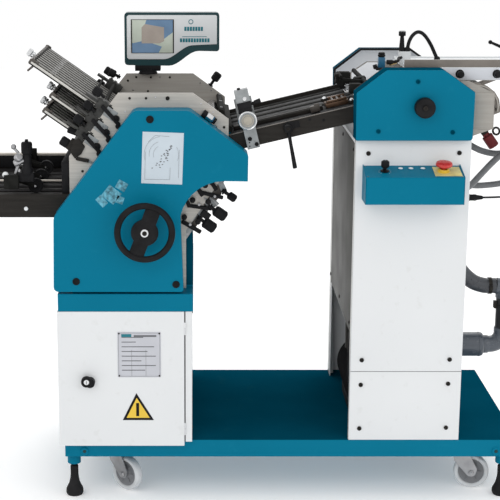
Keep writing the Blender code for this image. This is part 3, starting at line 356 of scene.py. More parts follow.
class Build:
    """Collects bevelled shapes, drawn in the machine's own frame, that become one piece."""

    def __init__(self, place=None):
        self.shape = bmesh.new()
        self.place = place or Matrix.Identity(4)

    def take(self, shape, turn=None):
        """Add a shape, after an optional turn of its own."""
        if turn is not None:
            bmesh.ops.transform(shape, matrix=turn, verts=shape.verts)
        bmesh.ops.transform(shape, matrix=self.place, verts=shape.verts)
        mesh = bpy.data.meshes.new("shape")
        shape.to_mesh(mesh)
        shape.free()
        self.shape.from_mesh(mesh)
        bpy.data.meshes.remove(mesh)
        return self

    def block(self, low, high, bevel=0.001, turn=None, segments=2):
        """A block between two corners, with rounded edges."""
        size = [b - a for a, b in zip(low, high)]
        middle = [(a + b) / 2 for a, b in zip(low, high)]
        shape = bmesh.new()
        spot = Matrix.Translation(middle) @ Matrix.Diagonal((*size, 1.0))
        bmesh.ops.create_cube(shape, size=1.0, matrix=spot)
        edge = min(bevel, min(size) * 0.45)
        bmesh.ops.bevel(shape, geom=shape.edges[:], offset=edge, segments=segments, profile=0.5,
                        affect="EDGES")
        return self.take(shape, turn)

    def beam(self, start, end, width, depth, bevel=0.001, up=Y):
        """A bar of rectangular section from one point to another; width runs along up."""
        start, end = Vector(start), Vector(end)
        run = (end - start).normalized()
        side = Vector(up).normalized()
        third = run.cross(side).normalized()
        turn = Matrix((run, side, third)).transposed().to_4x4()
        turn.translation = (start + end) / 2
        half = Vector(((end - start).length / 2, width / 2, depth / 2))
        return self.block(-half, half, bevel, turn)

    def lathe(self, profile, at=(0, 0, 0), axis=Z, sides=40):
        """A profile of (radius, height) points turned about an axis through a point."""
        shape = bmesh.new()
        rings = []
        for radius, height in profile:
            if radius < 1e-6:
                rings.append([shape.verts.new((0, 0, height))])
            else:
                turns = [2 * pi * k / sides for k in range(sides)]
                rings.append([shape.verts.new((radius * cos(a), radius * sin(a), height)) for a in turns])
        for lower, upper in zip(rings, rings[1:]):
            for k in range(sides):
                n = (k + 1) % sides
                if len(lower) == 1 and len(upper) == 1:
                    continue
                if len(lower) == 1:
                    shape.faces.new((lower[0], upper[k], upper[n]))
                elif len(upper) == 1:
                    shape.faces.new((lower[k], upper[0], lower[n]))
                else:
                    shape.faces.new((lower[k], upper[k], upper[n], lower[n]))
        bmesh.ops.remove_doubles(shape, verts=shape.verts, dist=1e-7)
        bmesh.ops.recalc_face_normals(shape, faces=shape.faces)
        return self.take(shape, Matrix.Translation(at) @ aim(axis))

    def rod(self, start, end, radius, sides=28, chamfer=None, end_radius=None):
        """A round bar with chamfered ends, from one point to another."""
        start, end = Vector(start), Vector(end)
        long = (end - start).length
        edge = min(radius * 0.18, 0.0015, long * 0.3) if chamfer is None else chamfer
        far = radius if end_radius is None else end_radius
        profile = [(0, 0), (radius - edge, 0), (radius, edge), (far, long - edge), (far - edge, long),
                   (0, long)]
        return self.lathe(profile, start, end - start, sides)

    def ball(self, at, radius, sides=24):
        """A round ball."""
        profile = [(radius * sin(pi * k / 12), -radius * cos(pi * k / 12)) for k in range(13)]
        return self.lathe(profile, at, Z, sides)

    def ring(self, at, axis, radius, thick, sides=40):
        """A round-section ring."""
        profile = [(radius + thick * cos(2 * pi * k / 12), thick * sin(2 * pi * k / 12)) for k in range(13)]
        return self.lathe(profile, at, axis, sides)

    def screw(self, at, axis, radius=0.006, high=0.004, sides=24):
        """A cap screw's head with its socket."""
        socket = radius * 0.5
        profile = [(0, high * 0.35), (socket, high * 0.35), (socket, high), (radius * 0.86, high),
                   (radius, high * 0.8), (radius, 0), (0, 0)]
        return self.lathe(profile, at, axis, sides)

    def knurled(self, start, end, radius, teeth=22, depth=0.001):
        """A grip with grooves along it and rounded ends."""
        start, end = Vector(start), Vector(end)
        long = (end - start).length
        edge = min(radius * 0.25, long * 0.2)
        shape = bmesh.new()
        rings = []
        for reach, height in ((-depth - edge, 0), (-depth * 0.3, edge), (0, edge * 1.6),
                              (0, long - edge * 1.6), (-depth * 0.3, long - edge), (-depth - edge, long)):
            rings.append([])
            for k in range(teeth * 4):
                dip = depth * (0, 0.2, 1, 0.2)[k % 4] if reach > -depth else 0
                here = radius + reach - dip
                turn = 2 * pi * k / (teeth * 4)
                rings[-1].append(shape.verts.new((here * cos(turn), here * sin(turn), height)))
        close_skin(shape, rings)
        return self.take(shape, Matrix.Translation(start) @ aim(end - start))

    def slab(self, outline, front, back, bevel=0.0008, turn=None):
        """An upright plate with an outline in X and Z, from one Y to another."""
        shape = bmesh.new()
        spots = [shape.verts.new((x, front, z)) for x, z in outline]
        face = shape.faces.new(spots)
        pushed = bmesh.ops.extrude_face_region(shape, geom=[face])
        moved = [item for item in pushed["geom"] if isinstance(item, bmesh.types.BMVert)]
        bmesh.ops.translate(shape, vec=(0, back - front, 0), verts=moved)
        bmesh.ops.recalc_face_normals(shape, faces=shape.faces)
        if bevel:
            sharp = [e for e in shape.edges if e.is_manifold and e.calc_face_angle() > radians(35)]
            bmesh.ops.bevel(shape, geom=sharp, offset=bevel, segments=2, profile=0.5, affect="EDGES",
                            clamp_overlap=True)
        return self.take(shape, turn)

    def tube(self, points, radius, sides=14, smooth=8):
        """A round tube along a smooth curve through points."""
        spots = smooth_route(points, smooth) if smooth else [Vector(p) for p in points]
        shape = bmesh.new()
        rings = []
        side = None
        for k, spot in enumerate(spots):
            run = (spots[min(k + 1, len(spots) - 1)] - spots[max(k - 1, 0)]).normalized()
            if side is None:
                side = run.orthogonal().normalized()
            side = (side - run * side.dot(run)).normalized()
            other = run.cross(side)
            turns = [2 * pi * j / sides for j in range(sides)]
            rings.append([shape.verts.new(spot + (side * cos(a) + other * sin(a)) * radius) for a in turns])
        close_skin(shape, rings)
        return self.take(shape)

    def piece(self, name, look, body="root", replaces=(), sharp=32):
        """Make the piece, in its finish, riding on a body."""
        mesh = bpy.data.meshes.new(name)
        self.shape.to_mesh(mesh)
        self.shape.free()
        mesh.transform(Matrix.Translation(SHIFT))
        mesh.shade_smooth()
        mesh.set_sharp_from_angle(angle=radians(sharp))
        mesh.materials.append(M[look])
        obj = bpy.data.objects.new(name, mesh)
        bpy.context.scene.collection.objects.link(obj)
        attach(obj, body)
        if replaces:
            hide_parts(*replaces)
        return obj


# ---------------------------------------------------------------- hoses and leads
WALL = FEEDER_X[1] + 0.0003
SUCTION_ROUTE = [(WALL, 0.35, 0.757), (0.92, 0.35, 0.757), (0.945, 0.35, 0.738), (0.972, 0.35, 0.708),
                 (1.003, 0.35, 0.684), (1.039, 0.35, 0.672), (1.061, 0.35, 0.671), (1.0825, 0.35, 0.671)]
AIR_ROUTES = {
    "air_hose_1": [(WALL, 0.3, 1.205), (0.917, 0.3, 1.205), (0.95, 0.3, 1.194), (1.0, 0.3, 1.17),
                   (1.06, 0.3, 1.16), (1.14, 0.3, 1.176), (1.205, 0.3, 1.24), (1.235, 0.3, 1.34),
                   (1.235, 0.3, 1.4477)],
    "air_hose_2": [(WALL, 0.23, 1.04), (0.917, 0.23, 1.04), (0.95, 0.23, 1.058), (0.98, 0.23, 1.091),
                   (1.02, 0.23, 1.136), (1.064, 0.23, 1.18), (1.12, 0.23, 1.238), (1.152, 0.23, 1.33),
                   (1.152, 0.23, 1.4477)],
    "air_hose_3": [(WALL, 0.37, 1.04), (0.917, 0.37, 1.04), (0.95, 0.37, 1.038), (1.02, 0.37, 1.034),
                   (1.12, 0.37, 1.05), (1.22, 0.37, 1.1), (1.29, 0.37, 1.19), (1.31, 0.37, 1.33),
                   (1.31, 0.37, 1.4477)],
}
CABLE_ROUTE = [(0.941, 0.08, 1.047), (0.965, 0.08, 1.047), (1.04, 0.088, 1.048), (1.14, 0.112, 1.052),
               (1.25, 0.17, 1.085), (1.325, 0.235, 1.16), (1.355, 0.285, 1.27), (1.355, 0.3, 1.36),
               (1.355, 0.3, 1.4477)]
TOP_ROUTE = [(0.7585, 0.5, 1.4973), (0.7585, 0.5, 1.504), (0.764, 0.502, 1.53), (0.777, 0.506, 1.553),
             (0.797, 0.512, 1.564), (0.82, 0.52, 1.553), (0.845, 0.53, 1.52), (0.866, 0.54, 1.48),
             (0.873, 0.543, 1.466), (0.873, 0.543, 1.4583)]


def make_hose(name, look, points, radius):
    """A flexible hose or lead between two points of the machine, in place of its CAD tube."""
    route = [points[0], *smooth_route(points[1:-1], 8), points[-1]]
    route = [Vector(point) + SHIFT for point in route]
    curve = bpy.data.curves.new(f"{name}_skin", "CURVE")
    curve.dimensions = "3D"
    curve.bevel_depth = radius
    curve.bevel_resolution = 6
    curve.use_fill_caps = True
    spline = curve.splines.new("POLY")
    spline.points.add(len(route) - 1)
    for spot, place in zip(spline.points, route):
        spot.co = (*place, 1.0)
    spline.use_smooth = True
    curve.materials.append(M[look])
    obj = bpy.data.objects.new(f"{name}_skin", curve)
    bpy.context.scene.collection.objects.link(obj)
    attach(obj, "root")
    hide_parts(name)


def make_hoses():
    """Every hose and lead, with the fittings at their ends."""
    suction = [SUCTION_ROUTE[0], *smooth_route(SUCTION_ROUTE[1:-1], 8), SUCTION_ROUTE[-1]]
    Build().tube(suction, 0.0275, 40, 0).piece("suction_hose_skin", "suction", "root", ("suction_hose",))
    for name, route in AIR_ROUTES.items():
        make_hose(name, "hose", route, 0.011)
    make_hose("top_air_hose", "rubber", TOP_ROUTE, 0.0065)
    make_hose("sensor_cable", "dark_hose", CABLE_ROUTE, 0.0035)
    collars = Build()
    for route in AIR_ROUTES.values():
        collars.lathe([(0.0112, 0), (0.0175, 0), (0.0175, 0.006), (0.0145, 0.008), (0.0138, 0.02),
                       (0.0112, 0.021), (0.0112, 0)], route[0], X)
        collars.lathe([(0.0112, 0), (0.0155, 0), (0.0155, 0.016), (0.0135, 0.02), (0.0112, 0.02),
                       (0.0112, 0)], route[-1], -Z)
    collars.lathe([(0.0036, 0), (0.009, 0), (0.009, 0.01), (0.006, 0.022), (0.0036, 0.024), (0.0036, 0)],
                  CABLE_ROUTE[-1], -Z)
    collars.piece("hose_collars", "black")
    gland = Build()
    x, y, z = CABLE_ROUTE[0]
    gland.knurled((x - 0.034, y, z), (x - 0.018, y, z), 0.0135, 12, 0.0008)
    gland.rod((x - 0.036, y, z), (x - 0.0005, y, z), 0.0106, 24)
    gland.lathe([(0.0036, 0), (0.011, 0), (0.0108, 0.006), (0.0085, 0.013), (0.0062, 0.03),
                 (0.0036, 0.032), (0.0036, 0)], (x - 0.006, y, z), X)
    gland.piece("cable_gland", "black")
    Build().lathe([(0.0277, 0), (0.034, 0), (0.0345, 0.004), (0.0345, 0.016), (0.0325, 0.02),
                   (0.0277, 0.021), (0.0277, 0)], SUCTION_ROUTE[0], X).piece("suction_cuff", "pvc")
    clips = Build()
    for point, run in ((SUCTION_ROUTE[6], X), ((0.93, 0.35, 0.7495), (0.8, 0, -0.6))):
        clips.lathe([(0.0278, -0.006), (0.03, -0.006), (0.03, 0.006), (0.0278, 0.006), (0.0278, -0.006)],
                    point, run)
        clips.block((-0.006, -0.0365, -0.007), (0.006, -0.027, 0.007), 0.001, Matrix.Translation(point))
    clips.piece("suction_clips", "black_steel")


# ---------------------------------------------------------------- base and running gear
def make_casters():
    """Wheels with dished hubs, and the bolts and bearing rings of their forks."""
    for place, (x, y, turn) in zip(PLACES, CASTER_SPOTS):
        t = radians(turn)
        axle = Vector((-sin(t), cos(t), 0))
        hub = Vector((x + 0.04 * cos(t), y + 0.04 * sin(t), 0.0635))
        half = [(0.0455, 0.012), (0.049, 0.0148), (0.053, 0.0158), (0.0575, 0.0145), (0.0603, 0.0105),
                (0.0613, 0.0055), (0.0615, 0)]
        bore = [(0.0445, -0.01), (0.0445, 0.01)]
        profile = half + [(r, -h) for r, h in reversed(half[:-1])] + bore + half[:1]
        wheel = f"caster_wheel_{place}"
        Build().lathe(profile, hub, axle, 56).piece(f"tyre_{place}", "tyre", wheel, (wheel,))
        face = [(0.0066, 0.019), (0.014, 0.019), (0.015, 0.01), (0.0205, 0.0066), (0.027, 0.006),
                (0.0345, 0.0076), (0.04, 0.0112), (0.044, 0.0118)]
        disc = Build()
        disc.lathe(face + [(r, -h) for r, h in reversed(face)] + [face[0]], hub, axle, 48)
        for k in range(6):
            a = pi * k / 3
            spoke = Matrix.Translation(hub) @ aim(axle) @ Matrix.Rotation(a, 4, "Z")
            for side in (-1, 1):
                low, high = sorted((side * 0.0055, side * 0.0098))
                disc.block((0.0135, -0.0022, low), (0.037, 0.0022, high), 0.001, spoke)
        disc.piece(f"wheel_hub_{place}", "hub", wheel)
        bolts = Build()
        for side in (-1, 1):
            bolts.lathe([(0, 0.032), (0.0045, 0.032), (0.009, 0.0305), (0.01, 0.029), (0.01, 0.025),
                         (0, 0.025)], hub, axle * side, 6)
            bolts.rod(hub + axle * side * 0.03, hub + axle * side * 0.0345, 0.0052, 18)
        bolts.ring((x, y, 0.1465), Z, 0.029, 0.0032)
        bolts.ring((x, y, 0.1505), Z, 0.0275, 0.0022)
        bolts.piece(f"fork_bolts_{place}", "zinc", f"caster_fork_{place}")


def make_feet():
    """Levelling feet: ribbed rubber bells on threaded stems."""
    for place, (x, y) in zip(PLACES, FOOT_SPOTS):
        profile = [(0, 0.178), (0.007, 0.178), (0.0078, 0.1765)]
        for k in range(17):
            top = 0.1745 - 0.004 * k
            profile += [(0.0078, top), (0.007, top - 0.002)]
        profile += [(0.013, 0.106), (0.0138, 0.1035), (0.0138, 0.074), (0.015, 0.061), (0.019, 0.043),
                    (0.0245, 0.031), (0.0285, 0.0235), (0.03, 0.018), (0.03, 0.0075), (0.0285, 0.0035),
                    (0.0265, 0), (0, 0)]
        foot = f"levelling_foot_{place}"
        Build().lathe(profile, (x, y, 0), Z, 36).piece(f"foot_bell_{place}", "rubber", foot, (foot,))


def make_base_detail():
    """The deck's top skin, corner bosses with their screws, the caster bolts and the sockets' rims."""
    Build().block((-0.4462, 0.0008, DECK_TOP - 0.0004), (1.1092, 0.7752, DECK_TOP + 0.00015), 0.0002).piece(
        "deck_skin", "deck")
    boss, screws = Build(), Build()
    for x in (-0.38, 1.036):
        for y, way, high in ((0, -1, 0.005), (0.776, 1, 0.002)):
            boss.lathe([(0.006, high - 0.0015), (0.0085, high), (0.012, high), (0.0155, 0), (0.006, 0),
                        (0.006, high - 0.0015)], (x, y, 0.1735), Y * way, 36)
            screws.rod((x, y, 0.1735), (x, y + way * (high - 0.001), 0.1735), 0.0062, 6, 0)
    boss.piece("corner_bosses", "teal")
    for x, y, _ in CASTER_SPOTS:
        for dx in (-0.036, 0.036):
            for dy in (-0.028, 0.028):
                screws.lathe([(0, 0.006), (0.005, 0.006), (0.007, 0.0045), (0.007, 0), (0, 0)],
                             (x + dx, y + dy, 0.154), -Z, 6)
    screws.piece("base_screws", "bezel")
    sockets = Build()
    for x, y in FOOT_SPOTS:
        sockets.ring((x, y, 0.119), Z, 0.0205, 0.0026)
    sockets.piece("socket_rims", "teal")


# ---------------------------------------------------------------- cabinets
def make_cabinet_detail():
    """The door's data plate, sign, lock and hinges, and the cabinet's back panel and louvres."""
    front = -0.0222
    Build().block((-0.261, front - 0.001, 0.448), (-0.115, front, 0.607), 0.0004).piece(
        "data_plate", "silver", "cabinet_door")
    ink = Build()
    for k, (start, end) in enumerate(((0.02, 0.6), (0.02, 0.42), (0.02, 0.86), (0.02, 0.7), (0.02, 0.9),
                                      (0.02, 0.55), (0.02, 0.9), (0.02, 0.64))):
        z = 0.587 - 0.0165 * k
        ink.block((-0.258 + 0.14 * start + 0.008, front - 0.0013, z),
                  (-0.258 + 0.14 * end, front - 0.0008, z + 0.003), 0.0001)
    for x in (-0.258, -0.214, -0.166, -0.119):
        top = 0.603 if abs(x + 0.19) > 0.05 else 0.545
        ink.block((x, front - 0.0013, 0.452), (x + 0.001, front - 0.0008, top), 0.0001)
    for z in (0.451, 0.603):
        ink.block((-0.258, front - 0.0013, z), (-0.118, front - 0.0008, z + 0.001), 0.0001)
    ink.block((-0.206, front - 0.0013, 0.59), (-0.13, front - 0.0008, 0.5965), 0.0001)
    ink.piece("data_plate_lines", "ink", "cabinet_door")
    Build().block((-0.248, front - 0.0013, 0.59), (-0.214, front - 0.0008, 0.6), 0.0001).piece(
        "data_plate_mark", "teal_ink", "cabinet_door")
    rivets = Build()
    for x in (-0.256, -0.12):
        for z in (0.453, 0.602):
            rivets.screw((x, front - 0.0009, z), -Y, 0.003, 0.0016, 18)
    rivets.piece("data_plate_screws", "black_steel", "cabinet_door")

    corners = [(-0.199, 0.391), (-0.14, 0.2945), (-0.246, 0.2945)]
    centre = Vector((sum(c[0] for c in corners) / 3, sum(c[1] for c in corners) / 3))

    def scaled(share):
        """The sign's outline, shrunk about its middle."""
        return [tuple(centre + (Vector(c) - centre) * share) for c in corners]

    for name, look, share, near, far in (("sign_border", "black", 1.0, 0.0006, 0),
                                         ("sign_face", "yellow", 0.74, 0.001, 0.0003)):
        Build().slab(scaled(share), front - near, front - far, 0.0002).piece(name, look, "cabinet_door")
    Build().slab([(-0.2, 0.356), (-0.19, 0.356), (-0.19, 0.309), (-0.2, 0.309)], front - 0.0014,
                 front - 0.0008, 0).piece("sign_mark", "black", "cabinet_door")

    lock = Build()
    at = Vector((-0.3655, -0.0223, 0.4385))
    lock.lathe([(0, 0.017), (0.012, 0.017), (0.0124, 0.03), (0.015, 0.0318), (0.0178, 0.03),
                (0.0185, 0.027), (0.0185, 0.016), (0.012, 0.015), (0.012, 0), (0, 0)], at, -Y, 44)
    lock.lathe([(0, 0), (0.0165, 0), (0.0165, 0.0215), (0.015, 0.0235), (0, 0.0235)],
               at + Vector((0.011, 0, -0.006)), -Y, 40)
    lock.rod(at + Y * 0.001, at + Y * 0.0375, 0.0105, 24)
    lock.block((-0.009, 0.033, -0.028), (0.009, 0.0362, 0.009), 0.0008, Matrix.Translation(at))
    lock.piece("lock_barrel", "black", "door_lock", ("door_lock",))
    Build().lathe([(0, 0.0295), (0.006, 0.0295), (0.009, 0.0288), (0.0105, 0.0268), (0.0105, 0.017),
                   (0, 0.017)], at, -Y, 36).piece("lock_face", "chrome", "door_lock")
    slot = Build()
    slot.block((-0.0009, -0.0302, -0.005), (0.0009, -0.029, 0.005), 0.0002, Matrix.Translation(at))
    slot.piece("lock_key_slot", "black", "door_lock")

    Build().block((-0.0352, -0.0165, 0.216), (-0.0325, -0.002, 0.676), 0.0006).piece("jamb_seal", "black")
    hinges = Build()
    for z in (0.262, 0.618):
        hinges.rod((-0.0338, -0.0195, z - 0.022), (-0.0338, -0.0195, z + 0.022), 0.0032, 20)
        hinges.rod((-0.0338, -0.0195, z - 0.002), (-0.0338, -0.0195, z + 0.002), 0.0036, 20)
    hinges.piece("door_hinge_pins", "chrome")

    louvres = Build()
    for k in range(7):
        z = 0.33 + 0.026 * k
        louvres.slab([(0, z), (0.0035, z), (0.0008, z + 0.012), (0, z + 0.012)], 0, 0.16, 0.0004,
                     Matrix.Translation((-0.4588, 0.42, 0)) @ Matrix.Scale(-1, 4, X))
    louvres.piece("cabinet_louvres", "white")
    Build().block((-0.44, 0.6998, 0.235), (-0.03, 0.702, 0.66), 0.0008).piece("cabinet_back_panel", "white")
    screws = Build()
    for x in (-0.425, -0.235, -0.045):
        for z in (0.25, 0.645):
            screws.screw((x, 0.7019, z), Y, 0.0055, 0.003)
    for y in (0.06, 0.35, 0.64):
        for z in (0.24, 0.655):
            screws.screw((-0.0098, y, z), X, 0.005, 0.003)
            screws.screw((-0.4592, y, z), -X, 0.005, 0.003)
    screws.piece("cabinet_screws", "black_steel")


def make_switchgear():
    """What the open door shows: a mounting plate with rails, contactors, ducts and wiring."""
    plate = Build()
    plate.block((-0.435, 0.66, 0.235), (-0.035, 0.664, 0.66), 0.001)
    for z in (0.33, 0.47, 0.6):
        plate.block((-0.415, 0.648, z - 0.0175), (-0.055, 0.66, z + 0.0175), 0.001)
    plate.piece("mounting_plate", "aluminium")
    ducts = Build()
    for z in (0.262, 0.4, 0.538):
        ducts.block((-0.42, 0.612, z - 0.018), (-0.05, 0.659, z + 0.018), 0.002)
    ducts.piece("wiring_ducts", "pale_panel")
    units, tops = Build(), Build()
    for row, z in enumerate((0.33, 0.47, 0.6)):
        for k in range(6 - row):
            x = -0.405 + 0.052 * k
            units.block((x, 0.575, z - 0.036), (x + 0.043, 0.648, z + 0.036), 0.003)
            tops.block((x + 0.006, 0.566, z - 0.018), (x + 0.037, 0.576, z + 0.018), 0.002)
    units.block((-0.145, 0.47, 0.224), (-0.045, 0.59, 0.3), 0.004)
    units.piece("contactors", "black")
    tops.piece("contactor_fronts", "pale_panel")
    leads = Build()
    for k in range(7):
        x = -0.39 + 0.05 * k
        leads.tube([(x, 0.6, 0.3), (x + 0.006, 0.585, 0.285), (x + 0.012, 0.598, 0.262)], 0.0022, 8, 5)
        leads.tube([(x, 0.6, 0.436), (x + 0.008, 0.582, 0.42), (x + 0.014, 0.598, 0.402)], 0.0022, 8, 5)
    leads.tube([(-0.06, 0.56, 0.3), (-0.05, 0.56, 0.4), (-0.056, 0.59, 0.52), (-0.06, 0.61, 0.54)], 0.005,
               10)
    leads.piece("cabinet_wiring", "blue")


def make_feeder_cabinet_detail():
    """The white front panels with their seam, the grey left side and the pump bay's post and screws."""
    x0, x1 = FEEDER_X
    panels = Build()
    panels.block((x0 + 0.0006, -0.0016, 0.462), (x1 - 0.0006, 0.0003, 1.252), 0.0008)
    panels.block((x0 + 0.0006, -0.0016, DECK_TOP + 0.0008), (x1 - 0.0006, 0.0003, 0.4598), 0.0008)
    panels.piece("feeder_front_panels", "white")
    Build().block((x0 + 0.0008, -0.0006, 0.457), (x1 - 0.0008, 0.0003, 0.4645), 0.0002).piece(
        "panel_seam", "hub")
    screws = Build()
    for x, z in ((0.568, 1.21), (0.866, 1.212), (0.565, 0.502), (0.863, 0.504), (0.564, 0.414),
                 (0.861, 0.418), (0.563, 0.257), (0.86, 0.26)):
        screws.screw((x, -0.0016, z), -Y, 0.0075, 0.0035)
    for x in (0.565, 0.865):
        for z in (0.26, 0.5, 0.9, 1.21):
            screws.screw((x, 0.777, z), Y, 0.0075, 0.0028)
    for y in (0.05, 0.39, 0.725):
        for z in (0.62, 1.215):
            screws.screw((x0 - 0.0012, y, z), -X, 0.006, 0.003)
    screws.piece("feeder_panel_screws", "black_steel")
    Build().block((x0 + 0.004, 0.7748, 0.23), (x1 - 0.004, 0.7772, 1.246), 0.001).piece(
        "feeder_back_panel", "white")
    side = Build()
    face = Matrix.Translation((x0, 0, 0)) @ Matrix.Rotation(pi / 2, 4, "Z")
    side.slab([(0.0215, 0.589), (0.72, 0.591), (0.72, 1.238), (0.0215, 1.238)], 0, 0.0014, 0.0006, face)
    side.piece("feeder_side_panel", "grey_panel")
    trims = Build()
    for y, wide in ((0.003, 0.018), (0.722, 0.05)):
        trims.block((x0 - 0.0018, y, DECK_TOP + 0.001), (x0 + 0.0003, y + wide, 1.2515), 0.0006)
    trims.piece("feeder_side_posts", "aluminium")
    flange = Build()
    flange.slab([(0.529, 0.215), (0.544, 0.215), (0.533, 0.588), (0.529, 0.588)], 0.73, 0.732, 0.0008)
    flange.piece("bay_flange", "label")
    lining = Build()
    lining.block((x0 + 0.0035, 0.003, DECK_TOP + 0.002), (x1 - 0.004, 0.0045, 0.585), 0.0004)
    lining.block((x1 - 0.0045, 0.005, DECK_TOP + 0.002), (x1 - 0.003, 0.77, 0.8), 0.0004)
    lining.piece("pump_bay_lining", "grey_panel")


def make_pump():
    """The vacuum pump: ribbed cylinder and filter housings, with its bay's hoses, bellows and relay."""
    at = Vector((0.636, 0.4, DECK_TOP + 0.1198))
    ribs = [(0, 0.19), (0.055, 0.19), (0.072, 0.184), (0.085, 0.168), (0.085, 0.15)]
    for k in range(12):
        top = 0.146 - k * 0.0245
        ribs += [(0.085, top), (0.0985, top - 0.001), (0.0995, top - 0.003), (0.0985, top - 0.005),
                 (0.085, top - 0.006), (0.085, top - 0.02)]
    ribs += [(0.082, -0.165), (0.06, -0.18), (0, -0.18)]
    pump = Build()
    pump.lathe(ribs, at, -Y, 48)
    pump.block(at + Vector((-0.08, -0.12, -0.1195)), at + Vector((0.08, 0.12, -0.07)), 0.006)
    pump.piece("pump_body", "black", "root", ("vacuum_pump",))
    extra = Build()
    extra.rod(at + Vector((-0.048, -0.06, 0.07)), at + Vector((-0.048, -0.06, 0.165)), 0.032, 32)
    extra.rod(at + Vector((-0.048, 0.06, 0.07)), at + Vector((-0.048, 0.06, 0.185)), 0.03, 32)
    for k in range(9):
        z = 0.09 + 0.008 * k
        extra.ring(at + Vector((-0.048, -0.06, z)), Z, 0.032, 0.0018)
    extra.piece("pump_filters", "black_steel")
    lines = Build()
    for shift, rise in ((0, 0), (0.028, 0.02), (0.06, -0.01)):
        lines.tube([(0.56, 0.205 + shift, 0.3), (0.556, 0.19 + shift, 0.4 + rise),
                    (0.565, 0.23 + shift, 0.52 + rise), (0.6, 0.26 + shift, 0.64),
                    (0.64, 0.27 + shift, 0.8)], 0.011, 16)
    lines.piece("pump_hoses", "rubber")
    bands = Build()
    for k in range(14):
        z = 0.255 + 0.022 * k
        bands.ring((0.56 + 0.002 * sin(k), 0.12, z), Z, 0.017, 0.0035, 20)
    bands.rod((0.56, 0.12, 0.23), (0.56, 0.12, 0.56), 0.016, 20)
    bands.piece("pump_bellows", "rubber")
    Build().block((0.545, 0.06, 0.48), (0.59, 0.095, 0.56), 0.003).piece("pump_relay", "pale_panel")


# ---------------------------------------------------------------- fold head
def make_cover_detail():
    """The covers' plugs, the generic diagram sheet and the faded print."""
    plugs = Build()
    for x, z in ((-0.146, 1.326), (-0.395, 0.784), (-0.063, 0.774)):
        plugs.lathe([(0, 0.002), (0.0065, 0.002), (0.008, 0.0034), (0.0115, 0.003), (0.0125, 0.0012),
                     (0.0125, 0), (0, 0)], (x, COVER_FACE, z), -Y, 36)
        plugs.lathe([(0, 0.0034), (0.0115, 0.003), (0.0125, 0.0012), (0.0125, 0), (0, 0)],
                    (x, 0.745, z), Y, 36)
    plugs.piece("cover_plugs", "black")
    turn = Matrix.Translation((-0.106, COVER_FACE - 0.0004, 1.199)) @ Matrix.Rotation(radians(2.0), 4, "Y")
    Build().block((-0.067, -0.0004, -0.085), (0.067, 0.0002, 0.085), 0.0002, turn).piece(
        "diagram_sheet", "paper")
    ink = Build()

    def stroke(x0, z0, x1, z1, wide=0.0007):
        """A printed line on the sheet."""
        a, b = turn @ Vector((x0, -0.0006, z0)), turn @ Vector((x1, -0.0006, z1))
        ink.beam(a, b, 0.0003, wide, 0)

    for x0, z0, x1, z1 in ((-0.056, -0.072, -0.056, 0.02), (0.054, 0.03, 0.054, -0.064),
                           (0.026, -0.03, 0.026, -0.07), (0.026, -0.07, -0.056, -0.072),
                           (-0.048, 0.052, -0.026, 0.074), (-0.026, 0.074, 0.02, 0.072)):
        stroke(x0, z0, x1, z1, 0.0008)
    for reach, start, end in ((0.06, 100, 200), (0.044, 110, 190), (0.052, -20, 30), (0.03, 120, 200)):
        turns = [radians(start + (end - start) * k / 9) for k in range(10)]
        spots = [(reach * cos(turn_at), 0.012 + reach * sin(turn_at)) for turn_at in turns]
        for (x0, z0), (x1, z1) in zip(spots, spots[1:]):
            stroke(x0, z0, x1, z1)
    noise.seed_set(7)
    for k in range(34):
        share = k / 33
        x = -0.012 + 0.04 * share + (noise.random() - 0.5) * 0.044 * (1.1 - share)
        z = -0.024 + 0.066 * share + (noise.random() - 0.5) * 0.034 * (1.1 - share)
        stroke(x - 0.0022, z, x + 0.0022, z + (noise.random() - 0.5) * 0.004, 0.0028)
    ink.piece("diagram_lines", "ink")
    faded = Build()
    for x, z, wide, tall, lean in ((-0.274, 1.078, 0.05, 0.046, 38), (-0.24, 1.108, 0.034, 0.03, 30),
                                   (-0.306, 1.056, 0.036, 0.024, 48), (-0.246, 1.06, 0.024, 0.024, 20)):
        spot = Matrix.Translation((x, COVER_FACE - 0.0001, z)) @ Matrix.Rotation(radians(lean), 4, "Y")
        faded.block((-wide / 2, -0.0002, -tall / 2), (wide / 2, 0.0001, tall / 2), 0.0001, spot)
    faded.piece("faded_print", "faded")


